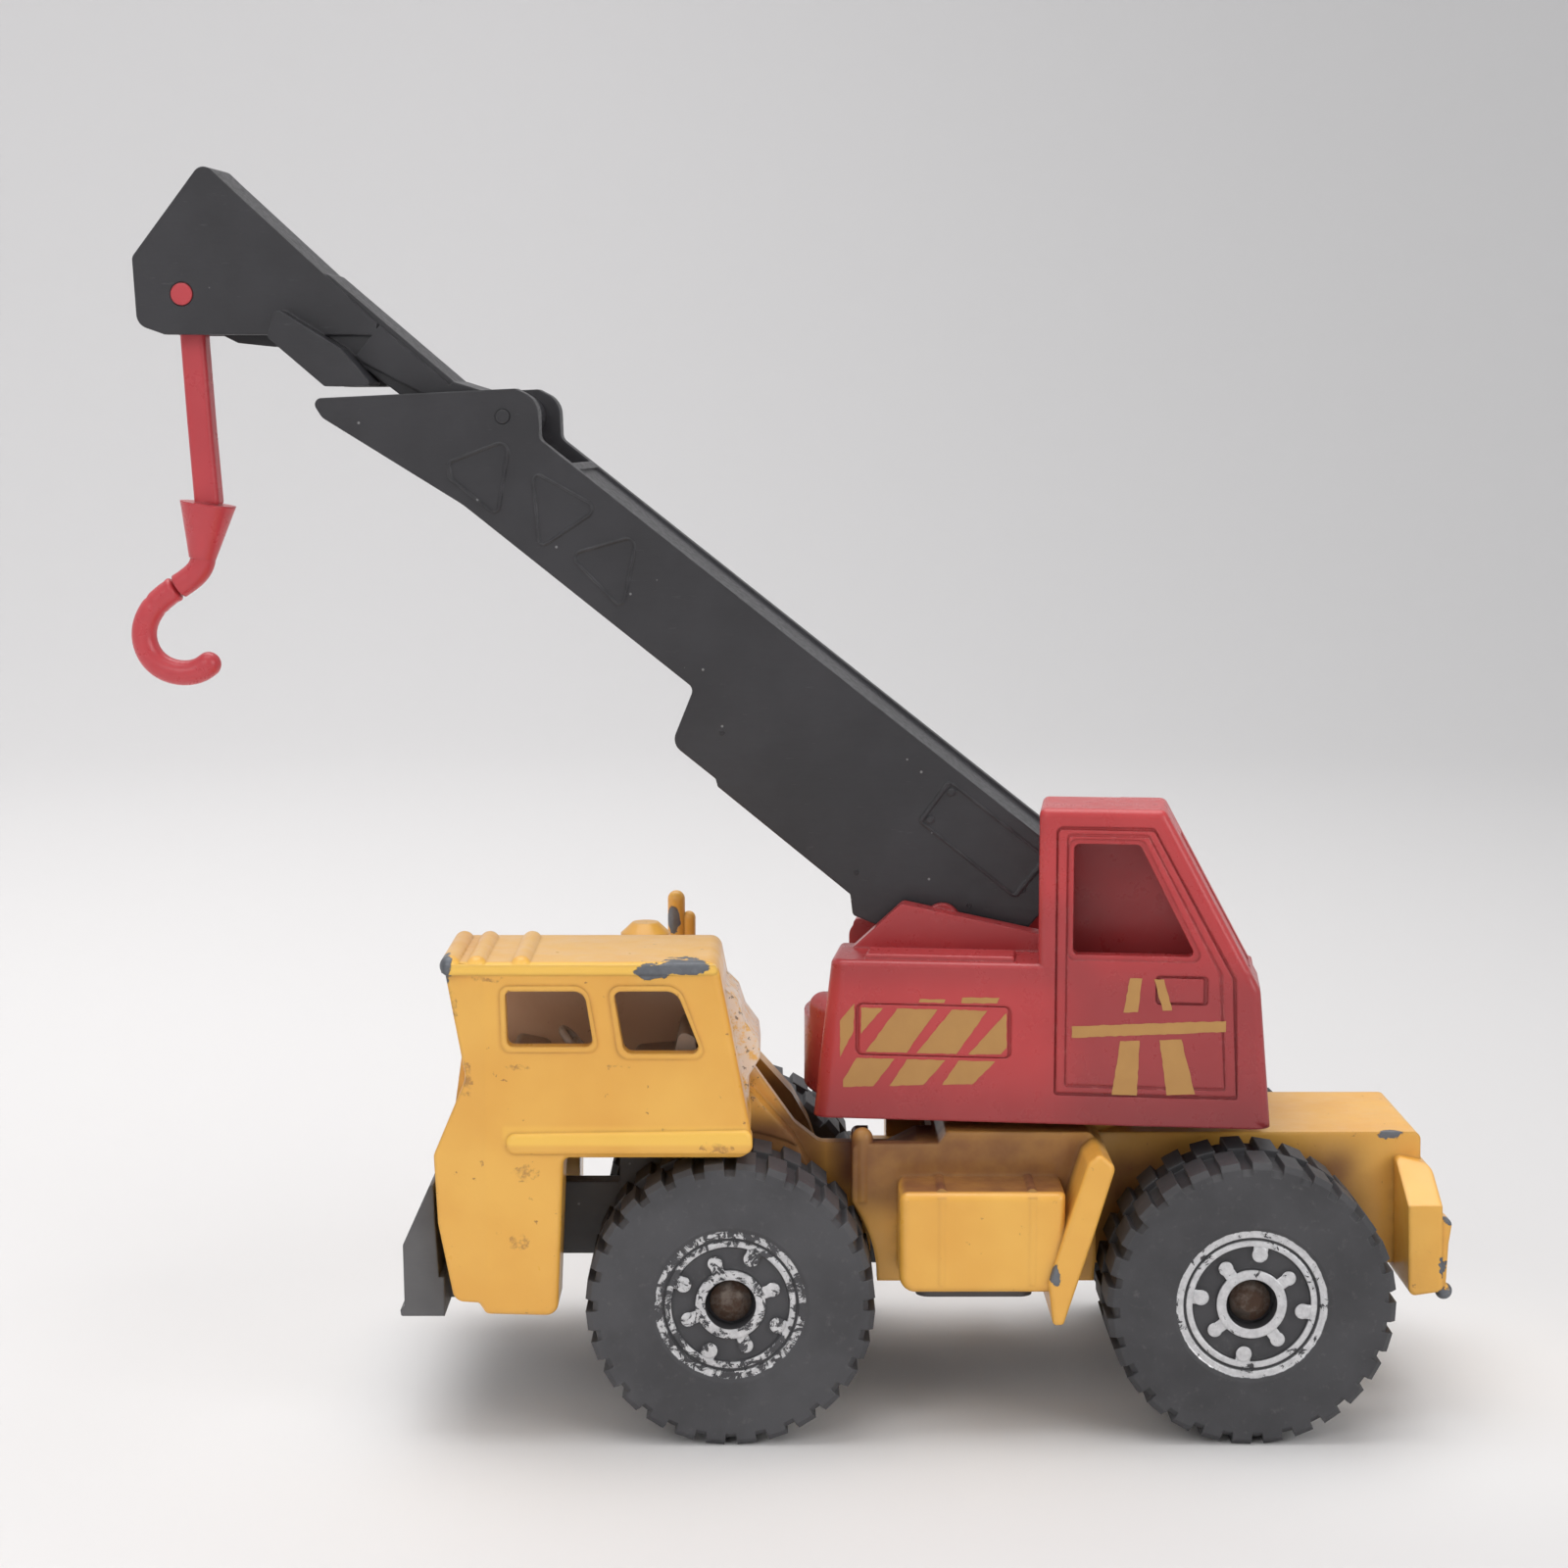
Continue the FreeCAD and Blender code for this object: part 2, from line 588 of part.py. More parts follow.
def ears():
    near = [(-11.0, 27.0, 0.2), (-7.9, 29.9, 0.4), (0.6, 28.2), (0.6, 23.0), (-11.4, 23.0)]
    far = [(-12.0, 26.6, 0.9), (-10.6, 27.6, 0.6), (-7.9, 29.9, 0.4), (2.0, 28.0), (2.6, 23.0), (-12.0, 23.0)]
    inner_near = BOOM_Y - BOOM_HALF - 0.5
    inner_far = BOOM_Y + BOOM_HALF + 0.5
    first = slab(near, inner_near - 1.6, inner_near)
    second = slab(far, inner_far, inner_far + 1.6)
    collars = [
        rod(1.08, vec(LUFF_X, inner_near - 0.2, LUFF_Z), vec(LUFF_X, inner_near + 0.4, LUFF_Z)),
        rod(LUFF_STUB_R, vec(LUFF_X, inner_near - 0.2, LUFF_Z), vec(LUFF_X, inner_near + 1.3, LUFF_Z)),
        rod(1.08, vec(LUFF_X, inner_far + 0.2, LUFF_Z), vec(LUFF_X, inner_far - 0.4, LUFF_Z)),
        rod(LUFF_STUB_R, vec(LUFF_X, inner_far + 0.2, LUFF_Z), vec(LUFF_X, inner_far - 1.3, LUFF_Z)),
    ]
    return [first, second], collars


def crane_house():
    block = house_block()
    plates, collars = ears()
    # well that the boom's foot swings in
    well = box(-15, 5.0, BOOM_Y - BOOM_HALF - 0.5, BOOM_Y + BOOM_HALF + 0.5, 22.6, 40)
    house = join([block] + plates).cut(well)
    # hollow underside, the cab hollow above it, and the pivot boss
    under = plan([(-11.3, -8.0, 0.5), (12.4, -8.0, 0.5), (12.4, 8.0, 0.5), (-11.3, 8.0, 0.5)], 17, 21.3)
    house = house.cut(under)
    hollow = slab([(1.6, 35.2, 0.3), (7.0, 35.2, 0.3), (11.9, 25.8), (12.2, 20), (1.6, 20)], -8.1, -4.3)
    house = house.cut(hollow)
    engine_room = box(6.2, 12.0, 1.0, 8.1, 20, 23.4)
    house = house.cut(engine_room)
    boss = rod(4.4, vec(0, 0, HOUSE_Z), vec(0, 0, 21.6))
    post = rod(SLEW_POST_R, vec(0, 0, 13.8), vec(0, 0, 18.5))
    house = join([house, boss, post] + collars)
    house = house.cut(rod(1.0, vec(0, 0, 13), vec(0, 0, 17.5)))
    return door_details(house)


def groove(points, depth, width, face_y):
    """Shallow channel that follows a rounded outline on a side face."""
    outer = slab(points, face_y - 1, face_y + depth)
    middle_x = sum(p[0] for p in points) / len(points)
    middle_z = sum(p[1] for p in points) / len(points)
    inner_points = []
    for p in points:
        dx = middle_x - p[0]
        dz = middle_z - p[1]
        reach = math.hypot(dx, dz)
        step = width * 1.35
        radius = max(p[2] - width, 0.1) if len(p) > 2 else 0.1
        inner_points.append((p[0] + dx * step / reach, p[1] + dz * step / reach, radius))
    return outer.cut(slab(inner_points, face_y - 2, face_y + depth + 1))


def door_details(house):
    side = -HOUSE_HALF
    door = [(1.4, 35.3, 0.4), (7.0, 35.3, 0.4), (11.8, 26.6, 0.6), (12.0, 19.5, 0.2), (1.4, 19.5, 0.2)]
    house = house.cut(groove(door, 0.16, 0.16, side))
    panel = [(2.0, 34.9, 0.3), (6.7, 34.9, 0.3), (11.0, 26.9, 0.5), (11.3, 20.0, 0.2), (2.0, 20.0, 0.2)]
    house = house.cut(groove(panel, 0.08, 0.14, side))
    # the side window is open to the hollow cab, inside a shallow rebate
    window = [(2.4, 34.3, 0.35), (6.2, 34.3, 0.35), (9.5, 27.8, 0.3), (2.4, 27.8, 0.3)]
    rebate = [(2.1, 34.6, 0.5), (6.4, 34.6, 0.5), (10.0, 27.5, 0.45), (2.1, 27.5, 0.45)]
    house = house.cut(slab(rebate, side - 1, side + 0.15))
    house = house.cut(slab(window, side - 1, side + 2.0))
    handle = [(7.2, 26.7, 0.25), (10.2, 26.7, 0.25), (10.2, 25.0, 0.25), (7.2, 25.0, 0.25)]
    house = house.cut(groove(handle, 0.18, 0.22, side))
    vent = [(-10.2, 24.7, 0.4), (-1.1, 24.7, 0.4), (-1.1, 21.6, 0.4), (-10.2, 21.6, 0.4)]
    house = house.cut(groove(vent, 0.14, 0.16, side))
    # a window in the sloping face of the crane cab, as a shallow recess
    glass = box(-0.2, 0.35, -8.2, -4.4, 0.0, 8.6)
    glass.rotate(vec(0, 0, 0), Y, -28.4)
    glass.translate(vec(12.75, 0, 27.0))
    house = house.cut(glass)
    return house


def slew_retainer():
    disc = rod(3.4, vec(0, 0, 12.9), vec(0, 0, 13.78))
    plug = rod(0.98, vec(0, 0, 13.5), vec(0, 0, 17.2))
    return join([disc, plug])


# ---- boom, jib and hook (drawn level, then raised to their resting angles) ----
# Along each section u runs from its pivot towards the tip and v runs upward across it.

BOOM_SIDE = [
    (49.5, 0.85, 0.4),
    (48.2, 0.4, 0.8),
    (38.2, 1.6, 6.0),
    (20.4, 1.6, 0.5),
    (19.4, -1.9, 0.9),
    (16.0, -1.9, 0.2),
    (15.6, -2.2, 0.2),
    (5.3, -2.3, 0.2),
    (4.4, -3.2, 0.3),
    (2.4, -2.6, 1.0),
    (-4.2, 0.2, 2.0),
    (-4.4, 7.65, 2.2),
    (36.9, 7.6, 0.6),
    (38.4, 9.4, 1.4),
    (39.9, 9.1, 0.3),
]


def flip(points):
    """Mirror an outline so that u points towards -X."""
    return [tuple([-p[0]] + list(p[1:])) for p in points]


def main_boom():
    low = BOOM_Y - BOOM_HALF
    high = BOOM_Y + BOOM_HALF
    body = slab(flip(BOOM_SIDE), low, high)
    channel_side = [
        (50, -4),
        (50, 12),
        (34.6, 12),
        (34.6, 6.3),
        (-2.8, 6.3, 1.0),
        (-3.2, 1.0, 1.5),
        (1.5, -1.8),
        (4.0, -4.5),
    ]
    body = body.cut(slab(flip(channel_side), low + PLATE, high - PLATE))
    # the web lies a little below the two side rims
    body = body.cut(slab(flip([(34.0, 7.42), (34.0, 9), (-6, 9), (-6, 7.42)]), low + 0.75, high - 0.75))
    # raised outlines on both side plates
    marks = [
        [(40.6, 3.0, 0.5), (38.3, 6.7, 0.6), (36.0, 2.3, 0.4), (39.9, 2.3, 0.4)],
        [(36.2, 5.9, 0.4), (31.4, 6.7, 0.6), (32.9, 2.3, 0.4)],
        [(31.4, 3.2, 0.5), (28.7, 6.9, 0.6), (26.6, 2.6, 0.4)],
        [(5.0, 6.9, 0.3), (4.9, 3.8, 0.3), (-2.6, 3.8, 0.3), (-2.6, 6.9, 0.3)],
    ]
    for mark in marks:
        ring = groove(flip(mark), 1.0, 0.2, 0.0)
        for face_y in (low, high):
            outline = ring.common(box(-60, 10, -0.1, 0.1, -10, 12))
            outline.translate(vec(0, face_y, 0))
            body = body.fuse(outline)
    for u, v, radius in ((4.4, 6.4, 0.22), (4.35, 4.3, 0.22)):
        body = body.fuse(rod(radius, vec(-u, low - 0.15, v), vec(-u, low + 0.3, v)))
        body = body.fuse(rod(radius, vec(-u, high - 0.3, v), vec(-u, high + 0.15, v)))
    # cross stays that tie the open lower edges of the plates
    for u, v in ((24.0, 2.4), (12.0, -1.2)):
        body = body.fuse(rod(0.6, vec(-u, low + 0.2, v), vec(-u, high - 0.2, v)))
    body = body.cut(rod(LUFF_STUB_R + RUNNING_GAP, vec(0, low - 1, 0), vec(0, high + 1, 0)))
    body = body.cut(rod(JIB_PIN_R + 0.01, vec(-39.5, low - 1, 7.3), vec(-39.5, high + 1, 7.3)))
    return body.removeSplitter()


def jib_pin():
    low = BOOM_Y - BOOM_HALF - 0.08
    high = BOOM_Y + BOOM_HALF + 0.08
    return rod(JIB_PIN_R, vec(0, low, 0), vec(0, high, 0))


def jib():
    low = BOOM_Y - JIB_HALF
    high = BOOM_Y + JIB_HALF
    head = [
        (24.3, -0.3, 0.7),
        (24.1, -7.6, 0.5),
        (21.3, -10.6, 0.9),
        (19.6, -9.95),
        (9.4, -1.5),
        (9.8, -0.9),
        (22.6, -0.4, 0.5),
    ]
    plates = slab(flip(head), low, high)
    gap = slab(flip([(30, -1.6), (30, -14), (14.0, -14), (14.0, -1.4), (23.0, -1.3)]), low + 0.9, high - 0.9)
    plates = plates.cut(gap)
    nose = slab(flip([(24.2, -0.4, 0.6), (24.05, -5.0), (23.2, -5.0), (23.2, -0.9)]), low + 0.2, high - 0.2)
    plates = plates.fuse(nose)
    # the right-hand plate's lower edge bulges a little
    bulge = [(17.9, -8.3), (16.5, -7.95, 0.3), (14.5, -6.6, 0.3), (14.2, -5.2), (16.5, -6.6)]
    plates = plates.fuse(slab(flip(bulge), high - 0.9, high))
    beam_side = [(14.0, -0.6, 0.2), (0.6, -0.6), (0.6, -1.3), (5.0, -3.3), (15.4, -3.9), (15.4, -1.2)]
    beam = slab(flip(beam_side), low + 0.3, high - 0.3)
    shoulder = slab(flip([(9.6, -0.9), (2.5, -0.9, 0.3), (3.4, -2.0), (9.0, -3.3), (9.6, -3.3)]), low, high)
    block_side = [(14.9, -4.0, 0.3), (14.2, -5.7, 0.3), (9.6, -5.7, 0.2), (7.3, -3.75, 0.2), (10.2, -3.3)]
    block = slab(flip(block_side), BOOM_Y - 3.5, BOOM_Y + 3.5)
    reach = BOOM_HALF - PLATE - 0.1
    knuckle = rod(1.3, vec(0, BOOM_Y - reach, 0), vec(0, BOOM_Y + reach, 0))
    arm = slab(flip([(0.0, 1.1), (-0.9, 0.0), (0.0, -1.3), (4.0, -2.6), (4.0, -0.6)]), low, high)
    whole = join([plates, beam, shoulder, block, knuckle, arm])
    # lightening hollow between the side faces of the beam
    hollow = [(13.6, -7), (13.6, -1.3), (3.2, -1.3), (3.2, -1.6), (7.6, -5.0), (8.6, -7)]
    whole = whole.cut(slab(flip(hollow), BOOM_Y - 0.95, BOOM_Y + 0.95))
    whole = whole.cut(rod(JIB_PIN_R + RUNNING_GAP, vec(0, -10, 0), vec(0, 12, 0)))
    whole = whole.cut(rod(HOOK_PIN_R + RUNNING_GAP, vec(-20.3, -10, -7.35), vec(-20.3, 12, -7.35)))
    return whole


HOOK_LINE = [
    (0.3, -15.8),
    (0.1, -16.8),
    (-1.02, -17.8),
    (-2.86, -19.2),
    (-3.62, -20.93),
    (-2.95, -22.68),
    (-1.34, -23.39),
    (0.5, -22.85),
]
HOOK_ROD_R = 0.79


def hook():
    """One red moulding: cross pin, shank, collar and hook, drawn from its pin."""
    low = BOOM_Y - HOOK_THICK / 2
    high = BOOM_Y + HOOK_THICK / 2
    pin = rod(HOOK_PIN_R, vec(0, BOOM_Y - JIB_HALF - 0.05, 0), vec(0, BOOM_Y + JIB_HALF + 0.05, 0))
    shank_side = [
        (-0.8, 0.8, 0.7),
        (0.8, 0.8, 0.7),
        (0.93, -2.8, 4.0),
        (1.24, -8.0, 9.0),
        (1.6, -13.0),
        (0.0, -13.0),
        (-0.34, -8.0, 9.0),
        (-0.65, -2.8, 4.0),
    ]
    shank = slab(shank_side, low, high)
    shank = soften(shank, 0.35, lambda p: p.z < 0.6)
    collar = Part.makeCone(1.74, 0.84, 3.45, vec(0.71, BOOM_Y, -12.8), vec(-0.13, 0, -1))
    curve = Part.BSplineCurve()
    curve.interpolate([vec(x, BOOM_Y, z) for x, z in HOOK_LINE])
    line = curve.toShape()
    start = line.valueAt(line.FirstParameter)
    end = line.valueAt(line.LastParameter)
    ring = Part.Wire(Part.makeCircle(HOOK_ROD_R, start, line.tangentAt(line.FirstParameter)))
    bowl = Part.Wire(line).makePipeShell([ring], True, True)
    return join([shank, collar, pin, bowl, Part.makeSphere(HOOK_ROD_R, end)])


# ---- placing and writing ----

def raise_section(solid, angle, x, z):
    """Turn a level section up by angle and put its pivot at (x, z)."""
    placed = solid.copy()
    placed.rotate(vec(0, 0, 0), Y, angle)
    placed.translate(vec(x, 0, z))
    return placed


def slew(solid):
    placed = solid.copy()
    placed.rotate(vec(0, 0, 0), Z, REST_SLEW)
    placed.translate(vec(SLEW_X, 0, 0))
    return placed


def along(u, v, angle, x, z):
    turn = math.radians(angle)
    return (
        x - u * math.cos(turn) + v * math.sin(turn),
        z + u * math.sin(turn) + v * math.cos(turn),
    )


def main():
    os.makedirs("parts", exist_ok=True)
    jib_x, jib_z = along(39.5, 7.3, REST_LUFF, LUFF_X, LUFF_Z)
    hook_x, hook_z = along(20.3, -7.35, REST_JIB, jib_x, jib_z)
    nodes = {
        "truck_body": truck_body(),
        "base_plate": base_plate(),
        "cab_interior": cab_interior(),
        "wheel_front_left": wheel(-1, 58).translated(vec(-AXLE_X, 0, 0)),
        "wheel_front_right": wheel(1, 5).translated(vec(-AXLE_X, 0, 0)),
        "wheel_rear_left": wheel(-1, -16).translated(vec(AXLE_X, 0, 0)),
        "wheel_rear_right": wheel(1, 31).translated(vec(AXLE_X, 0, 0)),
        "front_axle": axle(-AXLE_X),
        "rear_axle": axle(AXLE_X),
        "base_rivet_front": rivet(RIVET_X[0]),
        "base_rivet_rear": rivet(RIVET_X[1]),
        "crane_house": slew(crane_house()),
        "slew_retainer": slew(slew_retainer()),
        "main_boom": slew(raise_section(main_boom(), REST_LUFF, LUFF_X, LUFF_Z)),
        "jib": slew(raise_section(jib(), REST_JIB, jib_x, jib_z)),
        "jib_pin": slew(raise_section(jib_pin(), 0, jib_x, jib_z)),
        "hook": slew(raise_section(hook(), 0, hook_x, hook_z)),
    }
    for name, solid in nodes.items():
        solid.translate(vec(-CENTRE_X, -CENTRE_Y, 0))
        solid.exportStep(os.path.join("parts", name + ".step"))


main()
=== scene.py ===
import math
import random

import bmesh
import bpy
from mathutils import Matrix, Vector


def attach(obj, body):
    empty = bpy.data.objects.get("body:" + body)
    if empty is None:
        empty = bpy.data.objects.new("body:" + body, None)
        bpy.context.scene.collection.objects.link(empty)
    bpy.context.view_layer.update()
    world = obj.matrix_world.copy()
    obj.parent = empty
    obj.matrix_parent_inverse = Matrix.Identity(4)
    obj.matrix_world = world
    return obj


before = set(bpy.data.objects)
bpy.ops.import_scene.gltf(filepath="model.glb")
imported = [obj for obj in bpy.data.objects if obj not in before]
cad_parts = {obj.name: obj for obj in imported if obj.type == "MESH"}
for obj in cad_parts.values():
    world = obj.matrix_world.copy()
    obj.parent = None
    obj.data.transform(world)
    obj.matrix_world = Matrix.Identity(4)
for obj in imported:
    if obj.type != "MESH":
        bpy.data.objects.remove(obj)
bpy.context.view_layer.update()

MM = 0.001
TO_MM = 1000.0

# Places on the model are in mm, in one of two frames: the carrier's, with X = 0 midway between
# the axles, or the crane house's, with X = Y = 0 on the slew axis.
# How far the carrier's frame is shifted in the scene.
CARRIER_SHIFT = Vector((12.73, 0.15, 0.0))
# The slew axis in the carrier's frame, and how far the house is turned at rest.
SLEW_X = 3.6
REST_SLEW = math.radians(-7.0)
# Y of the left faces of the crane house and of the boom, in the house's frame.
HOUSE_SIDE = -9.25
BOOM_SIDE = 0.9 - 3.85
# Distance of the axles from the middle of the carrier, and their height.
AXLE_X = 14.92
AXLE_Z = 8.3

# The camera's place in the carrier's frame, its aim, its focal length and its film's width, in mm.
CAMERA_PLACE = (-12.4, -179.0, 59.0)
CAMERA_DOWN = math.radians(7.131982)
CAMERA_RIGHT = math.radians(0.188658)
CAMERA_LENS = 68.33
SENSOR_WIDTH = 36.0


def carrier_point(x, y, z):
    """Place in the scene, in metres, of a point given in mm in the carrier's frame."""
    return (Vector((x, y, z)) + CARRIER_SHIFT) * MM


def house_matrix():
    """Placement of the crane house's frame in the scene, at rest."""
    origin = carrier_point(SLEW_X, 0, 0)
    return Matrix.Translation(origin) @ Matrix.Rotation(REST_SLEW, 4, "Z")


# ---- camera ----

def make_camera():
    data = bpy.data.cameras.new("camera")
    data.lens = CAMERA_LENS
    data.sensor_width = SENSOR_WIDTH
    data.clip_start = 0.005
    data.clip_end = 20.0
    camera = bpy.data.objects.new("camera", data)
    bpy.context.scene.collection.objects.link(camera)
    camera.location = carrier_point(*CAMERA_PLACE)
    camera.rotation_euler = (math.pi / 2 - CAMERA_DOWN, 0.0, -CAMERA_RIGHT)
    bpy.context.scene.camera = camera


# ---- node materials ----

class Finish:
    """One node material, laid out in mm in the scene at rest. It moves with its piece."""

    def __init__(self, name):
        self.material = bpy.data.materials.new(name)
        self.material.use_nodes = True
        self.nodes = self.material.node_tree.nodes
        self.links = self.material.node_tree.links
        self.shader = self.nodes["Principled BSDF"]
        coords = self.nodes.new("ShaderNodeTexCoord")
        self.mm = self.vector("MULTIPLY", coords.outputs["Object"], (TO_MM, TO_MM, TO_MM))

    def plug(self, value, socket):
        if isinstance(value, bpy.types.NodeSocket):
            self.links.new(value, socket)
        else:
            socket.default_value = value

    def vector(self, operation, first, second=None):
        node = self.nodes.new("ShaderNodeVectorMath")
        node.operation = operation
        self.plug(first, node.inputs[0])
        if second is not None:
            self.plug(second, node.inputs[1])
        return node.outputs["Value" if operation in ("LENGTH", "DOT_PRODUCT") else "Vector"]

    def math(self, operation, first, second=0.0):
        node = self.nodes.new("ShaderNodeMath")
        node.operation = operation
        self.plug(first, node.inputs[0])
        self.plug(second, node.inputs[1])
        return node.outputs[0]

    def times(self, first, second):
        return self.math("MULTIPLY", first, second)

    def noise(self, scale, detail=3.0, roughness=0.55, where=None, distortion=0.0, colour=False):
        node = self.nodes.new("ShaderNodeTexNoise")
        self.plug(where or self.mm, node.inputs["Vector"])
        node.inputs["Scale"].default_value = scale
        node.inputs["Detail"].default_value = detail
        node.inputs["Roughness"].default_value = roughness
        node.inputs["Distortion"].default_value = distortion
        return node.outputs["Color" if colour else "Fac"]

    def cells(self, scale, where=None):
        """Distance to the nearest of some scattered points."""
        node = self.nodes.new("ShaderNodeTexVoronoi")
        self.plug(where or self.mm, node.inputs["Vector"])
        node.inputs["Scale"].default_value = scale
        return node.outputs["Distance"]

    def fade(self, value, low, high, to_low=0.0, to_high=1.0):
        """Smooth step of a value between two limits."""
        node = self.nodes.new("ShaderNodeMapRange")
        node.interpolation_type = "SMOOTHSTEP"
        self.plug(value, node.inputs["Value"])
        node.inputs["From Min"].default_value = low
        node.inputs["From Max"].default_value = high
        node.inputs["To Min"].default_value = to_low
        node.inputs["To Max"].default_value = to_high
        return node.outputs["Result"]

    def blend(self, amount, first, second):
        """Mix of two colours."""
        node = self.nodes.new("ShaderNodeMix")
        node.data_type = "RGBA"
        self.plug(amount, node.inputs[0])
        self.plug(first, node.inputs[6])
        self.plug(second, node.inputs[7])
        return node.outputs[2]

    def level(self, amount, first, second):
        """Mix of two values."""
        node = self.nodes.new("ShaderNodeMix")
        node.data_type = "FLOAT"
        self.plug(amount, node.inputs[0])
        self.plug(first, node.inputs[2])
        self.plug(second, node.inputs[3])
        return node.outputs[0]

    def stretched(self, scale):
        """Coordinates stretched along some axes, for scratches and draw marks."""
        return self.vector("MULTIPLY", self.mm, scale)

    def part_of(self, axis, where=None):
        node = self.nodes.new("ShaderNodeSeparateXYZ")
        self.plug(where or self.mm, node.inputs[0])
        return node.outputs[axis]

    def rounded(self, radius):
        """Normal that runs smoothly round sharp edges, radius in mm."""
        node = self.nodes.new("ShaderNodeBevel")
        node.samples = 6
        node.inputs["Radius"].default_value = radius * MM
        return node.outputs["Normal"]

    def edges(self, radius):
        """1 along sharp edges, 0 on flat faces."""
        geometry = self.nodes.new("ShaderNodeNewGeometry")
        same = self.vector("DOT_PRODUCT", self.rounded(radius), geometry.outputs["Normal"])
        return self.fade(same, 0.99, 0.8)

    def crevices(self, reach):
        """1 deep in inner corners, 0 in the open."""
        node = self.nodes.new("ShaderNodeAmbientOcclusion")
        node.samples = 6
        node.only_local = True
        node.inputs["Distance"].default_value = reach * MM
        return self.fade(node.outputs["AO"], 0.95, 0.35)

    def spots(self, places, ragged):
        """Union of ragged blobs. A place is (centre in the carrier's frame, radius, stretch)."""
        total = None
        shake = self.vector("SUBTRACT", self.noise(1.7, 4.0, 0.6, colour=True), (0.5, 0.5, 0.5))
        shake = self.vector("MULTIPLY", shake, (ragged, ragged, ragged))
        shaken = self.vector("ADD", self.mm, shake)
        for centre, radius, stretch in places:
            away = self.vector("SUBTRACT", shaken, tuple(Vector(centre) + CARRIER_SHIFT))
            away = self.vector("MULTIPLY", away, tuple(1.0 / s for s in stretch))
            inside = self.fade(self.vector("LENGTH", away), radius, radius * 0.9)
            total = inside if total is None else self.math("MAXIMUM", total, inside)
        return total

    def inside_box(self, low, high, soft):
        """1 inside a box given in mm in the carrier's frame, fading out over a soft border."""
        low = Vector(low) + CARRIER_SHIFT
        high = Vector(high) + CARRIER_SHIFT
        total = None
        for i, axis in enumerate("XYZ"):
            place = self.part_of(axis)
            rise = self.fade(place, low[i] - soft, low[i] + soft)
            fall = self.fade(place, high[i] - soft, high[i] + soft, 1.0, 0.0)
            both = self.times(rise, fall)
            total = both if total is None else self.times(total, both)
        return total

    def bump(self, height, depth, under=None):
        """Relief of depth mm."""
        node = self.nodes.new("ShaderNodeBump")
        node.inputs["Distance"].default_value = depth * MM
        self.plug(height, node.inputs["Height"])
        if under is not None:
            self.links.new(under, node.inputs["Normal"])
        return node.outputs["Normal"]

    def finish(self, colour, roughness, normal, metal=None):
        self.plug(colour, self.shader.inputs["Base Color"])
        self.plug(roughness, self.shader.inputs["Roughness"])
        self.plug(normal, self.shader.inputs["Normal"])
        if metal is not None:
            self.plug(metal, self.shader.inputs["Metallic"])
        return self.material


# ---- yellow paint ----
# Places and boxes are in the carrier's frame, mm.

YELLOW = (0.86, 0.47, 0.085, 1)
DEEP_YELLOW = (0.80, 0.405, 0.066, 1)
HIGHLIGHT_YELLOW = (0.97, 0.60, 0.10, 1)
HOUSE_SHADOW_RED = (0.105, 0.026, 0.020, 1)
CAB_SHADE = (0.74, 0.48, 0.31, 1)
CORNER_BROWN = (0.26, 0.105, 0.030, 1)
SPECK = (0.26, 0.10, 0.035, 1)
STAIN = (0.30, 0.13, 0.04, 1)
PALE_PATCH = (0.82, 0.72, 0.66, 1)
FLECK = (0.10, 0.06, 0.045, 1)
DARK_ZINC = (0.10, 0.11, 0.125, 1)
PALE_ZINC = (0.22, 0.23, 0.25, 1)

# Where the paint has come off down to the zinc: centre, radius, stretch along each axis.
PAINT_CHIPS = [
    ((-31.2, -13.5, 27.9), 0.95, (0.7, 1.5, 1.1)),
    ((-19.3, -14.0, 27.76), 0.55, (2.0, 3.0, 0.75)),
    ((-17.5, -14.0, 27.95), 0.6, (2.6, 4.0, 0.7)),
    ((-18.8, 8.2, 26.9), 0.6, (0.8, 1.2, 1.5)),
    ((3.7, -13.4, 9.9), 0.42, (0.7, 1.0, 1.6)),
    ((24.4, -5.4, 16.2), 0.45, (1.6, 1.5, 0.9)),
    ((27.1, -9.4, 12.2), 0.5, (0.8, 1.2, 1.0)),
    ((26.9, -9.1, 7.5), 0.75, (1.0, 1.0, 0.8)),
    ((26.8, -9.6, 9.2), 0.3, (0.8, 1.0, 2.4)),
    ((12.0, 9.2, 16.3), 0.5, (2.0, 1.0, 0.8)),
    ((-24.0, 14.0, 18.2), 0.5, (2.4, 1.0, 0.8)),
    ((4.6, 13.4, 7.4), 0.5, (0.8, 1.2, 1.2)),
]
# Where brown stains stick to the cab.
PAINT_STAINS = [
    ((-26.6, -14.0, 16.1), 0.5, (1.6, 1.0, 1.0)),
    ((-26.9, -14.0, 12.0), 0.4, (1.6, 1.0, 1.2)),
    ((-30.7, -13.8, 25.6), 0.5, (0.8, 1.0, 2.2)),
    ((-29.9, -13.9, 21.4), 0.5, (0.7, 1.0, 2.4)),
    ((-26.9, -14.1, 22.2), 0.3, (3.0, 1.0, 0.5)),
    ((-21.2, -14.0, 22.3), 0.3, (2.4, 1.0, 0.5)),
    ((-15.6, -14.3, 17.6), 0.4, (2.6, 1.0, 0.6)),
    ((-28.9, -14.1, 27.3), 0.35, (4.0, 1.0, 0.5)),
]
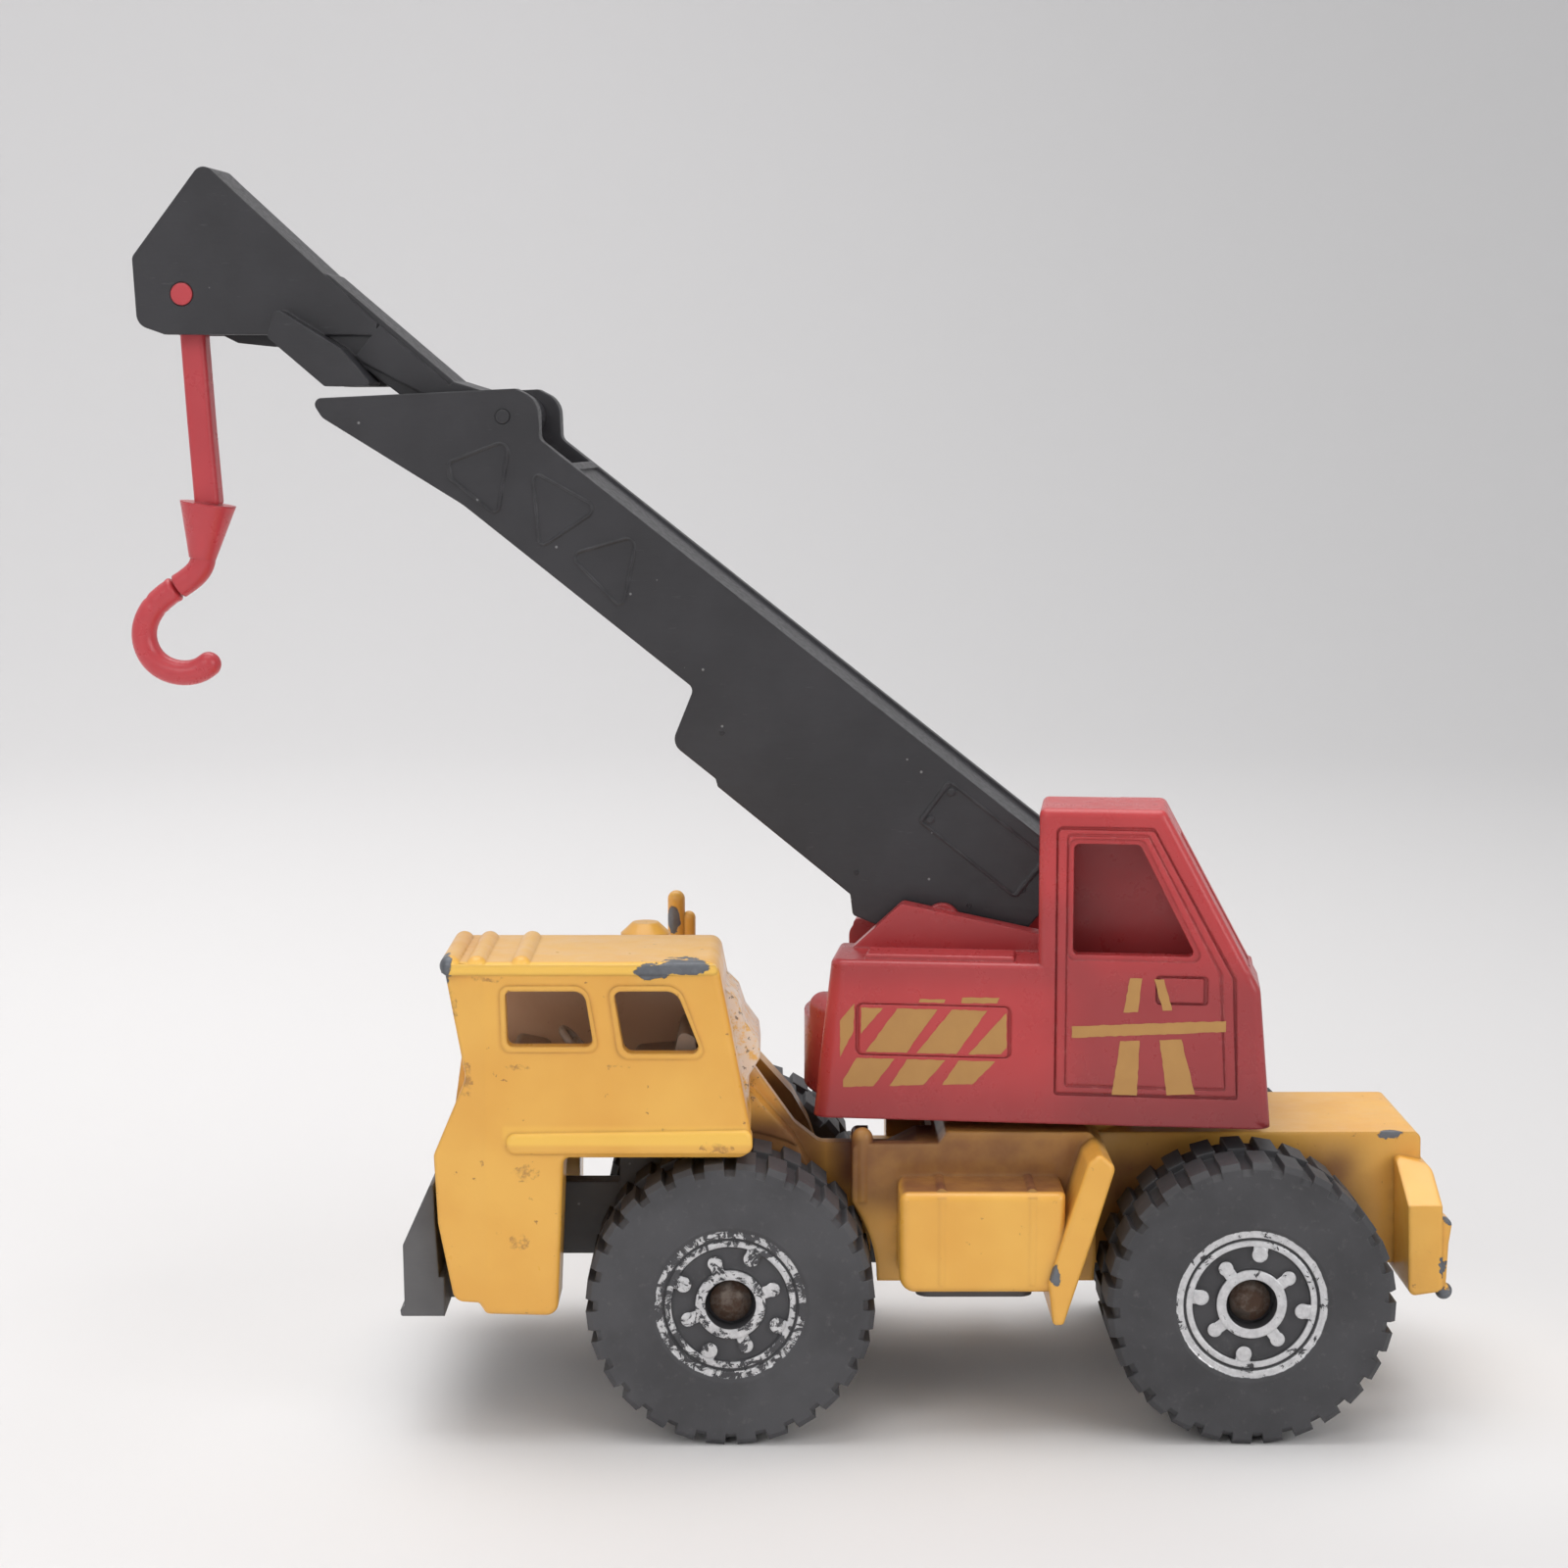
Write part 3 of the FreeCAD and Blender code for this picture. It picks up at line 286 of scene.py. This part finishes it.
# Where shade is painted on the chassis, dark red-brown for the crane house's shadow and its red
# reflection: low corner, high corner, soft border, strength.
HOUSE_SHADOW_BOXES = [
    ((-9.0, -9.7, 12.6), (6.5, 9.7, 17.7), 1.3, 1.0),
    ((-16.0, -9.7, 8.0), (-9.5, 9.7, 17.7), 1.0, 0.9),
    ((7.0, -9.7, 8.0), (22.5, 9.7, 15.4), 1.4, 0.85),
    ((-5.4, -12.6, 14.45), (4.6, -8.9, 17.6), 0.25, 1.0),
    ((-5.4, 8.9, 14.45), (4.6, 12.6, 17.6), 0.25, 1.0),
]
# The ledge under the doors and the gutter under the roof, where a highlight is painted, the inside
# of the cab, where shade is painted, and the back of the cab.
LEDGE = (-27.8, -14.6, 17.75), (-13.3, -14.0, 18.8), 0.15
GUTTER = (-31.3, -14.6, 27.45), (-15.3, -13.7, 28.3), 0.15
CAB_INSIDE = (-29.6, -13.12, 17.6), (-15.9, -5.55, 27.25), 0.1
CAB_BACK = (-16.2, -13.4, 19.8), (-12.9, -5.4, 26.9), 0.3
CAB_BACK_EDGE = (-16.3, -13.3, 18.0), (-12.9, -4.0, 26.8), 0.3


def painted_house_shadow(f):
    """Painted shadow of the crane house on the chassis, dark red-brown with the house's red
    reflection, 0 to 1.
    """
    amount = 0.0
    for low, high, soft, strength in HOUSE_SHADOW_BOXES:
        here = f.times(f.inside_box(low, high, soft), strength)
        amount = f.math("MAXIMUM", here, amount)
    return f.times(amount, f.fade(f.noise(0.5, 3.0), 0.2, 0.7, 0.8, 1.0))


def yellow_enamel():
    f = Finish("yellow_enamel")
    colour = f.blend(f.fade(f.noise(0.16, 3.0), 0.3, 0.7), YELLOW, DEEP_YELLOW)
    # painted shadow and red reflection of the crane house on the chassis below it
    house_shadow = painted_house_shadow(f)
    colour = f.blend(f.times(house_shadow, 0.94), colour, HOUSE_SHADOW_RED)
    colour = f.blend(f.inside_box(*CAB_INSIDE), colour, CAB_SHADE)
    # darker brown deep in the inner corners, in patches
    corner_darkening = f.times(f.crevices(0.9), f.fade(f.noise(0.9, 4.0), 0.25, 0.75, 0.15, 1.0))
    colour = f.blend(f.times(corner_darkening, 0.50), colour, CORNER_BROWN)
    # patches of small specks, and stains at their own places
    wobble = f.vector("ADD", f.mm, f.noise(2.6, 3.0, colour=True))
    patch = f.fade(f.noise(0.35, 2.0), 0.42, 0.62)
    speck = f.times(f.fade(f.cells(1.0, wobble), 0.115, 0.05), patch)
    colour = f.blend(f.times(speck, 0.75), colour, SPECK)
    stain = f.times(f.spots(PAINT_STAINS, 1.0), f.fade(f.noise(1.9, 5.0, 0.7), 0.42, 0.62))
    colour = f.blend(f.times(stain, 0.62), colour, STAIN)
    # painted highlight, paler and yellower, along the top of the ledge and the gutter
    ledge_highlight = f.math("MAXIMUM", f.inside_box(*LEDGE), f.inside_box(*GUTTER))
    colour = f.blend(f.times(ledge_highlight, 0.7), colour, HIGHLIGHT_YELLOW)
    # bare zinc where the paint has chipped off or rubbed off the edges
    worn = f.times(f.edges(0.14), f.fade(f.noise(0.55, 4.0, 0.65), 0.67, 0.73))
    bare = f.math("MAXIMUM", f.spots(PAINT_CHIPS, 0.9), worn)
    colour = f.blend(bare, colour, f.blend(f.noise(2.0, 4.0), DARK_ZINC, PALE_ZINC))
    # pale patches with dark flecks down the back of the cab
    pale_patch = f.times(f.inside_box(*CAB_BACK), f.fade(f.noise(1.8, 6.0, 0.75), 0.36, 0.54))
    colour = f.blend(f.times(pale_patch, 0.75), colour, PALE_PATCH)
    fleck = f.times(f.fade(f.cells(1.9, wobble), 0.26, 0.12), f.inside_box(*CAB_BACK_EDGE))
    colour = f.blend(f.times(fleck, 0.75), colour, FLECK)
    # softly rounded edges, orange peel, chips a little below the paint, fine grain
    normal = f.bump(f.noise(1.1, 2.0, 0.5), 0.03, f.rounded(0.35))
    normal = f.bump(bare, -0.06, normal)
    normal = f.bump(f.noise(5.0, 3.0), 0.004, normal)
    rough = f.fade(f.noise(0.5, 4.0), 0.2, 0.8, 0.26, 0.44)
    rough = f.level(bare, rough, 0.5)
    rough = f.level(f.math("MAXIMUM", house_shadow, f.times(corner_darkening, 0.8)), rough, 0.7)
    f.shader.inputs["Coat Weight"].default_value = 0.25
    f.shader.inputs["Coat Roughness"].default_value = 0.12
    return f.finish(colour, rough, normal, f.times(bare, 0.75))


# ---- red and dark plastics ----

RED_CORNER_TONE = (0.20, 0.03, 0.03, 1)
RED_SHADE = (0.20, 0.036, 0.040, 1)
RED_SCUFF = (0.85, 0.30, 0.27, 1)
SCUFF = (0.22, 0.22, 0.23, 1)
LINT = (0.4, 0.4, 0.4, 1)
RUBBED_EDGE = (0.17, 0.17, 0.18, 1)

# Where shade is painted on the crane house, darker low on its sides, round the door and near the top
# at the front: low corner, high corner, soft border, strength, in the carrier's frame, mm.
RED_SHADE_BOXES = [
    ((-14.0, -14.0, 12.0), (24.0, 14.0, 20.0), 2.4, 0.45),
    ((4.5, -14.0, 12.0), (24.0, 14.0, 27.0), 2.0, 0.50),
    ((-14.0, -14.0, 26.0), (6.0, 14.0, 31.0), 1.0, 0.30),
]


def red_plastic(name, light, dark, shade_boxes=()):
    """Slightly translucent red plastic, clouded, darker in its inner corners, with painted shade in
    the given boxes and pale scuffed edges.
    """
    f = Finish(name)
    colour = f.blend(f.fade(f.noise(0.12, 3.0), 0.3, 0.7), light, dark)
    # darker red deep in the inner corners, in patches
    patches = f.times(f.crevices(0.6), f.fade(f.noise(1.2, 4.0), 0.3, 0.7))
    colour = f.blend(f.times(patches, 0.25), colour, RED_CORNER_TONE)
    # painted shade, the house darker in each box
    for low, high, soft, strength in shade_boxes:
        colour = f.blend(f.times(f.inside_box(low, high, soft), strength), colour, RED_SHADE)
    scuff = f.times(f.edges(0.1), f.fade(f.noise(1.3, 4.0), 0.5, 0.65))
    colour = f.blend(f.times(scuff, 0.35), colour, RED_SCUFF)
    haze = f.fade(f.noise(0.7, 5.0, 0.65), 0.3, 0.75)
    rough = f.math("ADD", 0.26, f.times(haze, 0.10))
    normal = f.bump(f.noise(0.6, 2.0), 0.014, f.rounded(0.2))
    normal = f.bump(f.noise(6.0, 3.0), 0.002, normal)
    f.shader.inputs["Subsurface Weight"].default_value = 0.12
    f.shader.inputs["Subsurface Radius"].default_value = (1.0, 0.25, 0.2)
    f.shader.inputs["Subsurface Scale"].default_value = 0.0012
    return f.finish(colour, rough, normal)


def dark_plastic(name, tone, rough, grain, rounding, streak):
    """Moulded dark plastic: cloudy tone, fine scuffs along one direction, paler rubbed edges."""
    f = Finish(name)
    lighter = tuple(c * 1.35 for c in tone)
    colour = f.blend(f.fade(f.noise(0.2, 4.0), 0.3, 0.7), tone + (1,), lighter + (1,))
    scuffs = f.noise(1.0, 5.0, 0.65, where=f.stretched(streak))
    colour = f.blend(f.fade(scuffs, 0.62, 0.85, 0.0, 0.30), colour, SCUFF)
    lint = f.fade(f.cells(0.55), 0.055, 0.03)
    colour = f.blend(f.times(lint, 0.5), colour, LINT)
    rubbed = f.times(f.edges(0.12), f.fade(f.noise(0.8, 4.0), 0.35, 0.7))
    colour = f.blend(f.times(rubbed, 0.45), colour, RUBBED_EDGE)
    normal = f.bump(f.noise(0.7, 3.0), 0.02, f.rounded(rounding))
    normal = f.bump(f.noise(grain, 3.0), 0.004, normal)
    return f.finish(colour, f.fade(scuffs, 0.3, 0.8, *rough), normal)


# ---- wheels ----

WHEEL_DUST = (0.16, 0.155, 0.15, 1)
RUBBED_TREAD = (0.18, 0.18, 0.18, 1)
DULL_SILVER = (0.36, 0.365, 0.38, 1)
BRIGHT_SILVER = (0.93, 0.93, 0.94, 1)

# The foil lies on what stands further than FOIL_SIDE from the middle plane of the carrier, from
# the bare hub out to FOIL_RADIUS, and is worn a little more outside WEAR_RADIUS. In mm.
FOIL_SIDE = 13.73
HUB_RADIUS = 1.4
FOIL_RADIUS = 4.41
WEAR_RADIUS = 3.5


def wheel_plastic(name, centre, kept, dark):
    """Dusty wheel moulding with worn silver foil on its hub. More kept leaves more of the foil."""
    f = Finish(name)
    deep = (dark, dark * 0.99, dark * 1.08, 1)
    pale = (dark * 1.45, dark * 1.44, dark * 1.56, 1)
    tone = f.blend(f.fade(f.noise(0.25, 4.0), 0.3, 0.7), deep, pale)
    patches = f.fade(f.noise(1.6, 5.0, 0.7), 0.55, 0.8)
    tone = f.blend(f.times(patches, 0.35), tone, WHEEL_DUST)
    rubbed = f.times(f.edges(0.12), f.fade(f.noise(0.9, 4.0), 0.3, 0.7))
    tone = f.blend(f.times(rubbed, 0.4), tone, RUBBED_TREAD)
    # where foil was pressed on
    away = f.vector("SUBTRACT", f.mm, tuple(centre))
    radius = f.vector("LENGTH", f.vector("MULTIPLY", away, (1.0, 0.0, 1.0)))
    side = f.math("ABSOLUTE", f.part_of("Y", away))
    ragged = f.math("ADD", radius, f.times(f.noise(2.2, 4.0), 0.16))
    raised = f.fade(side, FOIL_SIDE - 0.02, FOIL_SIDE + 0.02)
    foil = f.times(raised, f.fade(ragged, FOIL_RADIUS + 0.03, FOIL_RADIUS - 0.03))
    foil = f.times(foil, f.fade(radius, HUB_RADIUS, HUB_RADIUS + 0.08))
    # where it has not rubbed off
    outer = f.fade(radius, WEAR_RADIUS - 0.3, WEAR_RADIUS + 0.3)
    limit = f.level(outer, kept + 0.03, kept - 0.01)
    left = f.math("SUBTRACT", limit, f.noise(1.3, 6.0, 0.75, distortion=0.7))
    foil = f.times(foil, f.fade(left, -0.012, 0.012))
    silver = f.blend(f.noise(2.6, 5.0, 0.7), DULL_SILVER, BRIGHT_SILVER)
    colour = f.blend(foil, tone, silver)
    normal = f.bump(f.noise(0.8, 3.0), 0.02, f.rounded(0.14))
    normal = f.bump(f.noise(5.0, 4.0), 0.008, normal)
    normal = f.bump(foil, 0.02, normal)
    return f.finish(colour, f.level(foil, 0.60, 0.34), normal, foil)


# ---- metals and ink ----

STEEL = (0.16, 0.13, 0.11, 1)
RUST = (0.065, 0.034, 0.020, 1)
CAST_ZINC = (0.24, 0.25, 0.27, 1)
BRIGHT_ZINC = (0.42, 0.43, 0.46, 1)
OCHRE = (0.44, 0.225, 0.066, 1)
PALE_OCHRE = (0.52, 0.28, 0.082, 1)
THIN_OCHRE = (0.42, 0.10, 0.05, 1)


def axle_steel():
    f = Finish("axle_steel_rusted")
    rust = f.fade(f.noise(1.2, 5.0, 0.65), 0.35, 0.6)
    colour = f.blend(rust, STEEL, RUST)
    normal = f.bump(f.noise(3.0, 5.0), 0.03, f.rounded(0.1))
    return f.finish(colour, f.level(rust, 0.4, 0.8), normal, f.level(rust, 0.85, 0.15))


def bare_zinc():
    f = Finish("bare_zinc_cast")
    colour = f.blend(f.noise(1.0, 5.0), CAST_ZINC, BRIGHT_ZINC)
    normal = f.bump(f.noise(2.5, 5.0), 0.02, f.rounded(0.1))
    return f.finish(colour, f.fade(f.noise(1.4, 4.0), 0.3, 0.7, 0.35, 0.6), normal, 0.9)


def print_ink():
    """Dull ochre pad print, thin in places so that the red shows through."""
    f = Finish("pad_print_ochre")
    thin = f.fade(f.noise(2.4, 5.0, 0.7), 0.68, 0.78)
    colour = f.blend(f.noise(0.8, 3.0), OCHRE, PALE_OCHRE)
    colour = f.blend(f.times(thin, 0.75), colour, THIN_OCHRE)
    normal = f.bump(f.noise(4.0, 4.0), 0.008)
    return f.finish(colour, f.fade(f.noise(1.4, 3.0), 0.3, 0.7, 0.35, 0.5), normal)


# ---- a finish for every CAD node ----

HOUSE_REDS = (0.54, 0.056, 0.060, 1), (0.48, 0.044, 0.048, 1)
HOOK_REDS = (0.58, 0.064, 0.077, 1), (0.50, 0.050, 0.062, 1)
# Name, tone, lowest and highest roughness, scale of the grain, radius of the softened edges in mm,
# and how finely the scuffs are drawn out along each axis.
BOOM_LOOK = "black_plastic_boom", (0.0245, 0.024, 0.0275), (0.34, 0.55), 4.0, 0.16, (0.5, 3.0, 5.0)
BASE_LOOK = "black_plastic_base", (0.088, 0.087, 0.089), (0.45, 0.65), 3.0, 0.18, (0.6, 3.0, 3.0)
INNER_LOOK = "black_plastic_interior", (0.26, 0.195, 0.15), (0.5, 0.7), 3.0, 0.1, (2.0, 2.0, 2.0)
# Each pair of wheels: X of its axle, share of foil kept, tone of the plastic.
WHEELS = {"front": (-AXLE_X, 0.50, 0.048), "rear": (AXLE_X, 0.60, 0.039)}


def dress_nodes():
    """Give every CAD node its finish. Returns the boom's, which its ejector marks share."""
    boom = dark_plastic(*BOOM_LOOK)
    base = dark_plastic(*BASE_LOOK)
    steel = axle_steel()
    zinc = bare_zinc()
    finishes = {
        "truck_body": yellow_enamel(),
        "crane_house": red_plastic("red_plastic_house", *HOUSE_REDS, RED_SHADE_BOXES),
        "slew_retainer": base,
        "main_boom": boom,
        "jib": boom,
        "jib_pin": boom,
        "hook": red_plastic("red_plastic_hook", *HOOK_REDS),
        "base_plate": base,
        "cab_interior": dark_plastic(*INNER_LOOK),
        "front_axle": steel,
        "rear_axle": steel,
        "base_rivet_front": zinc,
        "base_rivet_rear": zinc,
    }
    for end, (x, kept, dark) in WHEELS.items():
        centre = Vector((x, 0, AXLE_Z)) + CARRIER_SHIFT
        for side in ("left", "right"):
            node = f"wheel_{end}_{side}"
            finishes[node] = wheel_plastic(f"{node}_moulding", centre, kept, dark)
    for name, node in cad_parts.items():
        for slot in node.material_slots:
            slot.material = finishes[name]
    return boom


# ---- printed marks and small moulding marks ----
# Outlines and places are X and Z in the house's frame, mm.

VENT_PRINT = [
    [(-11.12, 23.60), (-10.28, 24.66), (-10.32, 23.0), (-11.10, 21.45)],
    [(-9.88, 24.42), (-8.60, 24.42), (-9.88, 22.86)],
    [(-7.75, 24.42), (-5.40, 24.42), (-7.20, 21.80), (-9.60, 21.80)],
    [(-4.56, 24.42), (-2.50, 24.42), (-4.30, 21.80), (-6.62, 21.80)],
    [(-1.40, 24.30), (-1.36, 22.25), (-1.70, 21.86), (-3.58, 21.80)],
    [(-10.12, 21.42), (-7.90, 21.42), (-9.15, 19.76), (-10.92, 19.66), (-10.92, 20.10)],
    [(-7.17, 21.42), (-4.92, 21.42), (-6.20, 19.92), (-8.20, 19.80)],
    [(-4.14, 21.42), (-2.02, 21.42), (-3.34, 20.02), (-5.10, 19.94)],
    [(-6.42, 25.02), (-4.94, 25.02), (-5.02, 24.82), (-6.50, 24.82)],
    [(-3.96, 25.16), (-1.80, 25.20), (-1.95, 24.86), (-4.03, 24.84)],
]
DOOR_PRINT = [
    [(2.40, 23.62), (11.25, 24.14), (11.25, 23.50), (2.40, 22.94)],
    [(5.72, 26.52), (6.42, 26.52), (6.20, 24.55), (5.36, 24.50)],
    [(7.62, 24.66), (8.16, 24.70), (7.66, 26.50), (7.10, 26.50)],
    [(5.20, 22.82), (6.32, 22.86), (6.20, 19.62), (4.76, 19.62)],
    [(7.46, 22.92), (8.72, 23.00), (9.54, 19.78), (7.92, 19.68)],
]
# How far the ink stands out and how deep it is set, the step between points along its border,
# and how far the border wavers.
PRINT_HEIGHT = 0.02
PRINT_STEP = 0.25
PRINT_WAVER = 0.025

MARK_PLACES = ((-18.92, 39.78), (-10.76, 31.44), (-3.96, 29.54), (-0.73, 30.56))
# A mark's section, as radius and rise above the boom's side.
MARK_PROFILE = ((0.16, -0.02), (0.16, 0.03), (0.10, 0.03), (0.08, -0.02))
MARK_SIDES = 20


def add_piece(name, mesh, body, finish):
    """Make a visual piece from a bmesh in the house's frame, riding on a body."""
    bmesh.ops.recalc_face_normals(mesh, faces=mesh.faces)
    mesh.transform(house_matrix())
    data = bpy.data.meshes.new(name)
    mesh.to_mesh(data)
    mesh.free()
    piece = bpy.data.objects.new(name, data)
    bpy.context.scene.collection.objects.link(piece)
    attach(piece, body)
    data.materials.append(finish)


def join_rings(mesh, first, second):
    """Faces between two closed rings of as many points."""
    for k in range(len(first)):
        n = (k + 1) % len(first)
        mesh.faces.new((first[k], second[k], second[n], first[n]))


def wavering(outline, chance):
    """The outline with points added along its sides, each a little to one side."""
    border = []
    for i, (x, z) in enumerate(outline):
        next_x, next_z = outline[(i + 1) % len(outline)]
        run_x, run_z = next_x - x, next_z - z
        run = math.hypot(run_x, run_z)
        steps = max(1, int(run / PRINT_STEP))
        for k in range(steps):
            t = k / steps
            shift = 0.0 if k == 0 else chance.uniform(-PRINT_WAVER, PRINT_WAVER)
            border.append((x + run_x * t + shift * run_z / run, z + run_z * t - shift * run_x / run))
    return border


def printed_marks(name, outlines, seed, ink):
    """Thin raised patches of ink on the house's left side, with slightly uneven borders."""
    chance = random.Random(seed)
    mesh = bmesh.new()
    for outline in outlines:
        border = wavering(outline, chance)
        front, back = (
            [mesh.verts.new((x * MM, y * MM, z * MM)) for x, z in border]
            for y in (HOUSE_SIDE - PRINT_HEIGHT, HOUSE_SIDE + PRINT_HEIGHT)
        )
        mesh.faces.new(front)
        mesh.faces.new(list(reversed(back)))
        join_rings(mesh, front, back)
    add_piece(name, mesh, "superstructure", ink)


def ejector_marks(finish):
    """Small raised rings that the mould's ejector pins left on the boom."""
    mesh = bmesh.new()
    for x, z in MARK_PLACES:
        rings = []
        for radius, rise in MARK_PROFILE:
            ring = []
            for k in range(MARK_SIDES):
                a = 2 * math.pi * k / MARK_SIDES
                spot = (x + radius * math.cos(a), BOOM_SIDE - rise, z + radius * math.sin(a))
                ring.append(mesh.verts.new(Vector(spot) * MM))
            rings.append(ring)
        for first, second in zip(rings, rings[1:] + rings[:1]):
            join_rings(mesh, first, second)
    add_piece("boom_ejector_marks", mesh, "boom", finish)


# ---- stage and lights ----

PAPER = (0.76, 0.747, 0.744, 1)
FAR_SHADE_PAPER = (0.56, 0.555, 0.56, 1)
RIGHT_SHADE_PAPER = (0.39, 0.39, 0.395, 1)
LIT_PAPER = (0.90, 0.89, 0.885, 1)

# The stage, in metres: a flat round floor, a bend and a short upright wall.
FLOOR_RADII = (0.05, 0.12, 0.22, 0.34)
BEND_RADIUS = 0.26
BEND_STEPS = 16
WALL_TOP = 0.60
STAGE_SIDES = 96

# Each light: place, diameter in metres, power in watts.
LIGHTS = {
    "overhead": ((-0.07, 0.14, 0.74), 0.80, 4.15),
    "front": ((-0.30, -0.52, 0.22), 0.44, 1.25),
    "right": ((0.36, -0.30, 0.22), 0.30, 0.62),
}
LIGHTS_AIM = (0.0, 0.0, 0.02)
SKY = (1.0, 0.99, 0.985, 1)
SKY_STRENGTH = 0.63


def stage_material():
    """Pale paper with painted shade, greyer far away and to the right, and a painted pool of light
    where the model stands that lightens its shadow.
    """
    f = Finish("pale_paper")
    # painted shade: the paper greyer far away and towards the right
    colour = f.blend(f.fade(f.vector("LENGTH", f.mm), 20.0, 560.0), PAPER, FAR_SHADE_PAPER)
    side = f.fade(f.part_of("X"), -100.0, 240.0)
    colour = f.blend(f.times(side, 0.74), colour, RIGHT_SHADE_PAPER)
    # painted light: a pale patch under the model that lightens its shadow
    painted_light = f.inside_box((-42.0, -20.0, -9.0), (32.0, 16.0, 9.0), 15.0)
    colour = f.blend(painted_light, colour, LIT_PAPER)
    return f.finish(colour, 0.75, f.bump(f.noise(0.6, 3.0), 0.01))


def make_stage():
    """Floor that curves up into a round wall, so that every view has the same plain ground."""
    profile = [(radius, 0.0) for radius in FLOOR_RADII]
    flat = FLOOR_RADII[-1]
    for k in range(1, BEND_STEPS + 1):
        a = math.pi / 2 * k / BEND_STEPS
        profile.append((flat + BEND_RADIUS * math.sin(a), BEND_RADIUS * (1 - math.cos(a))))
    profile.append((flat + BEND_RADIUS, WALL_TOP))
    mesh = bmesh.new()
    centre = mesh.verts.new((0, 0, 0))
    rings = []
    for radius, height in profile:
        ring = []
        for k in range(STAGE_SIDES):
            a = 2 * math.pi * k / STAGE_SIDES
            ring.append(mesh.verts.new((radius * math.cos(a), radius * math.sin(a), height)))
        rings.append(ring)
    for k in range(STAGE_SIDES):
        mesh.faces.new((centre, rings[0][k], rings[0][(k + 1) % STAGE_SIDES]))
    for inner, outer in zip(rings, rings[1:]):
        join_rings(mesh, inner, outer)
    data = bpy.data.meshes.new("floor")
    mesh.to_mesh(data)
    mesh.free()
    for face in data.polygons:
        face.use_smooth = True
    floor = bpy.data.objects.new("floor", data)
    data.materials.append(stage_material())
    bpy.context.scene.collection.objects.link(floor)


def make_lights():
    world = bpy.data.worlds.new("world")
    world.use_nodes = True
    background = world.node_tree.nodes["Background"]
    background.inputs["Color"].default_value = SKY
    background.inputs["Strength"].default_value = SKY_STRENGTH
    bpy.context.scene.world = world
    for name, (place, size, power) in LIGHTS.items():
        data = bpy.data.lights.new(name, "AREA")
        data.shape = "DISK"
        data.size = size
        data.energy = power
        light = bpy.data.objects.new(name, data)
        light.location = place
        way = Vector(LIGHTS_AIM) - Vector(place)
        light.rotation_euler = way.to_track_quat("-Z", "Y").to_euler()
        bpy.context.scene.collection.objects.link(light)


# ---- the scene ----

bpy.context.scene.view_settings.view_transform = "Standard"
make_camera()
boom_finish = dress_nodes()
ink = print_ink()
printed_marks("vent_stripes", VENT_PRINT, 3, ink)
printed_marks("door_bars", DOOR_PRINT, 5, ink)
ejector_marks(boom_finish)
make_stage()
make_lights()
